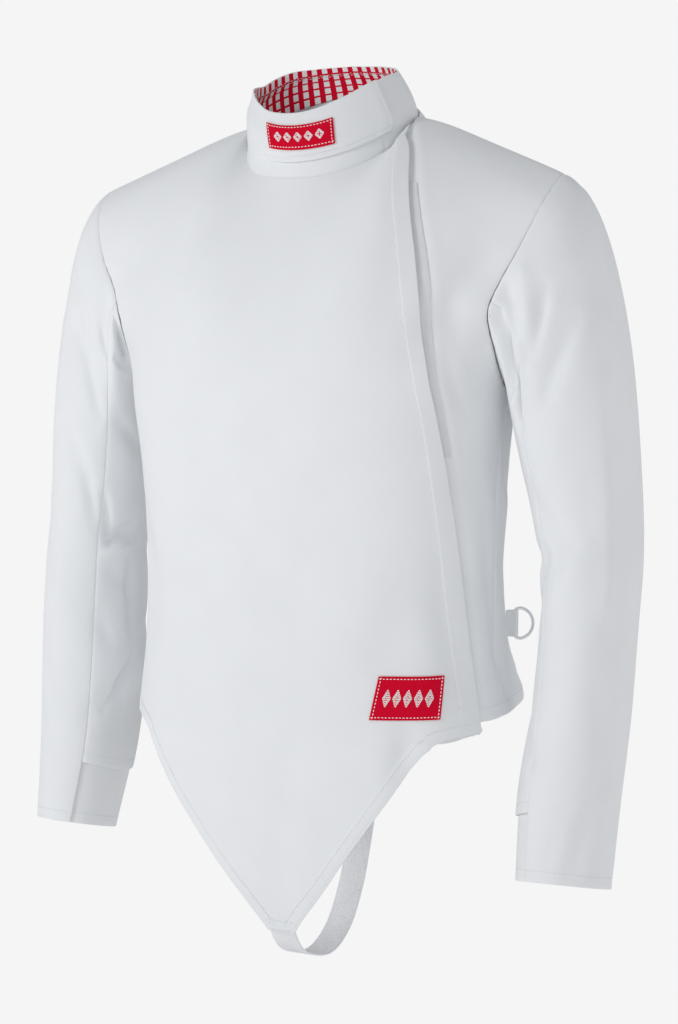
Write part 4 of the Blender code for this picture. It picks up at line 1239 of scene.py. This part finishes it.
def make_zip(left_front):
    """Tape of the closing zip on the slope beside the closing edge."""
    first = len(upper_levels())
    under, foot, middle = (left_front[28:first + 15, c] for c in (3, 6, 9))
    tape = np.stack([under, foot, (foot + middle) / 2, middle], axis=1)
    tape = moved_out(tape, PATCH_WALL + 0.1 + 0 * tape[..., 0])
    finish_piece(make_shell("zip_tape_cloth", tape, PATCH_WALL, zip_cloth, "left right"), ["zip_tape"])


def make_strap():
    share = np.linspace(0, 1, 200)
    y, z = along(STRAP, "y", share), along(STRAP, "z", share)
    across = np.linspace(-STRAP_WIDTH / 2, STRAP_WIDTH / 2, 25)
    grid = np.stack(np.broadcast_arrays(across[None, :], y[:, None], z[:, None]), -1)
    finish_piece(make_shell("crotch_strap_webbing", grid, STRAP_WALL, webbing, "left right top bottom"),
                 ["crotch_strap"])


def bar_centre():
    root = torso(np.radians(TAB_TURN), (TAB_Z - CHEST_Z) / UNIT_DROP)
    lean = math.radians(TAB_TURN + 12)
    out = np.array([math.sin(lean), -math.cos(lean), 0.0])
    return root, out, root + out * TAB_LENGTH


def make_tab():
    """Webbing folded round the ring's bar, its two layers sewn to the side of the back."""
    _, out, centre = bar_centre()
    side = np.array([-out[1], out[0], 0.0])
    radius, half = RING_WIRE / 2 + RING_CLEAR + TAB_WALL, TAB_WALL + 0.2
    profile = [(-TAB_LENGTH - 1.0, half), (-TAB_LENGTH + 1.5, half), (-radius * 1.3, half * 1.1)]
    profile += [(radius * math.sin(a), radius * math.cos(a)) for a in np.radians(np.linspace(-20, 200, 23))]
    profile += [(x, -y) for x, y in profile[2::-1]]
    levels = np.linspace(TAB_HEIGHT / 2, -TAB_HEIGHT / 2, 12)
    grid = np.array([[centre + out * x + side * y + np.array([0, 0, z]) for x, y in profile] for z in levels])
    if np.dot(grid_normals(grid)[6, len(profile) // 2], out) < 0:
        grid = grid[:, ::-1]
    finish_piece(make_shell("d_ring_tab_webbing", grid, TAB_WALL, webbing, "top bottom"),
                 ["d_ring_tab"])


def make_ring():
    """D-shaped ring of plated wire, in the place of its solid."""
    _, out, centre = bar_centre()
    half, corner = (RING_HEIGHT - RING_WIRE) / 2, 3.0
    path = [(0.0, z) for z in np.linspace(-half + corner, half - corner, 9)]
    path += [(0.9, half - 0.9)]
    for a in np.linspace(math.radians(78), math.radians(-78), 41):
        path.append((RING_DEPTH * math.cos(a) ** 0.8, half * math.sin(a) / math.sin(math.radians(78))))
    path += [(0.9, -half + 0.9)]
    spine = np.array([centre + out * r + np.array([0.0, 0.0, z]) for r, z in path])
    run = unit(np.roll(spine, -1, axis=0) - np.roll(spine, 1, axis=0))
    flat = np.array([-out[1], out[0], 0.0])
    other = np.cross(run, flat)
    angles = 2 * math.pi * np.arange(16) / 16
    grid = spine[:, None] + RING_WIRE / 2 * (flat * np.cos(angles)[None, :, None]
                                             + other[:, None] * np.sin(angles)[None, :, None])
    index = np.arange(grid.shape[0] * 16).reshape(-1, 16)
    across, down = np.roll(index, -1, axis=1), np.roll(index, -1, axis=0)
    faces = np.stack([index, across, np.roll(down, -1, axis=1), down], -1).reshape(-1, 4)
    piece = make_mesh("d_ring_wire", grid.reshape(-1, 3), faces.tolist(), metal)
    finish_piece(piece, ["d_ring"], "d_ring")


def make_camera():
    data = bpy.data.cameras.new("camera")
    camera = bpy.data.objects.new("camera", data)
    bpy.context.scene.collection.objects.link(camera)
    bpy.context.scene.camera = camera
    data.sensor_width, data.lens = 36.0, CAMERA_LENS
    azimuth = math.radians(CAMERA_AZIMUTH)
    level = Vector((-math.sin(azimuth), math.cos(azimuth), 0.0))
    right = Vector((math.cos(azimuth), math.sin(azimuth), 0.0))
    camera.location = -level * CAMERA_DISTANCE + Vector((0, 0, CAMERA_HEIGHT))
    look = level * math.cos(CAMERA_YAW) + right * math.sin(CAMERA_YAW)
    look = look * math.cos(math.radians(CAMERA_PITCH)) - Vector((0, 0, 1)) * math.sin(math.radians(CAMERA_PITCH))
    camera.rotation_euler = look.to_track_quat("-Z", "Y").to_euler()


def make_light(name, place, size, power, colour=(1.0, 1.0, 1.0)):
    data = bpy.data.lights.new(name, "AREA")
    data.shape, data.size, data.energy, data.color = "DISK", size, power, colour
    light = bpy.data.objects.new(name, data)
    light.location = place
    light.rotation_euler = (LIGHT_TARGET - Vector(place)).to_track_quat("-Z", "Y").to_euler()
    bpy.context.scene.collection.objects.link(light)


def make_studio():
    """Pale floor far below, a pale surround that only the camera sees, and soft lights."""
    scene = bpy.context.scene
    scene.view_settings.view_transform = "Standard"
    world = bpy.data.worlds.new("studio")
    world.use_nodes = True
    world.node_tree.nodes["Background"].inputs["Color"].default_value = (0.97, 0.985, 1.0, 1)
    world.node_tree.nodes["Background"].inputs["Strength"].default_value = WORLD_LIGHT
    scene.world = world
    material = bpy.data.materials.new("studio_surround")
    material.use_nodes = True
    tree = material.node_tree
    tree.nodes.remove(tree.nodes["Principled BSDF"])
    glow = node(tree, "ShaderNodeEmission", Color=(*SURROUND, 1.0))
    tree.links.new(glow.outputs[0], tree.nodes["Material Output"].inputs[0])
    bpy.ops.mesh.primitive_uv_sphere_add(radius=14.0, segments=48, ring_count=24)
    surround = bpy.context.object
    surround.name = "studio_surround"
    surround.data.materials.append(material)
    for ray in ("visible_diffuse", "visible_glossy", "visible_transmission", "visible_shadow"):
        setattr(surround, ray, False)
    bpy.ops.mesh.primitive_circle_add(vertices=96, radius=6.0, fill_type="NGON", location=(0, 0, FLOOR_Z))
    floor = bpy.context.object
    floor.name = "studio_floor"
    pale = bpy.data.materials.new("studio_floor")
    pale.use_nodes = True
    tree = pale.node_tree
    shader = tree.nodes["Principled BSDF"]
    shader.inputs["Base Color"].default_value = (*FLOOR_COLOUR, 1)
    shader.inputs["Roughness"].default_value = 0.9
    glow = node(tree, "ShaderNodeEmission", Color=(*SURROUND, 1.0))
    coordinates = tree.nodes.new("ShaderNodeTexCoord")
    distance = tree.nodes.new("ShaderNodeVectorMath")
    distance.operation = "LENGTH"
    tree.links.new(coordinates.outputs["Object"], distance.inputs[0])
    fade = node(tree, "ShaderNodeMapRange", From_Min=0.3, From_Max=1.5)
    fade.interpolation_type = "SMOOTHSTEP"
    tree.links.new(distance.outputs["Value"], fade.inputs["Value"])
    mix = tree.nodes.new("ShaderNodeMixShader")
    tree.links.new(fade.outputs["Result"], mix.inputs[0])
    tree.links.new(shader.outputs[0], mix.inputs[1])
    tree.links.new(glow.outputs[0], mix.inputs[2])
    tree.links.new(mix.outputs[0], tree.nodes["Material Output"].inputs[0])
    floor.data.materials.append(pale)
    for name, place, size, power in LIGHTS:
        make_light(name, place, size, power)


white = cloth_material("white_cloth", WHITE)
red = cloth_material("red_label", RED, 0.5, 0.5, 0.02)
lining_cloth = check_material()
webbing = ribbed_material("white_webbing", WEBBING, 1.6)
zip_cloth = ribbed_material("zip_tape", TAPE_GREY, 0.8)
metal = metal_material()
thread = ribbed_material("thread", THREAD, 0.4)
label_thread = ribbed_material("label_thread", LABEL_THREAD, 0.4)

make_camera()
make_studio()
right_front, left_front = make_panels()
make_collar()
make_hem_label()
make_zip(left_front)
make_strap()
make_tab()
make_ring()
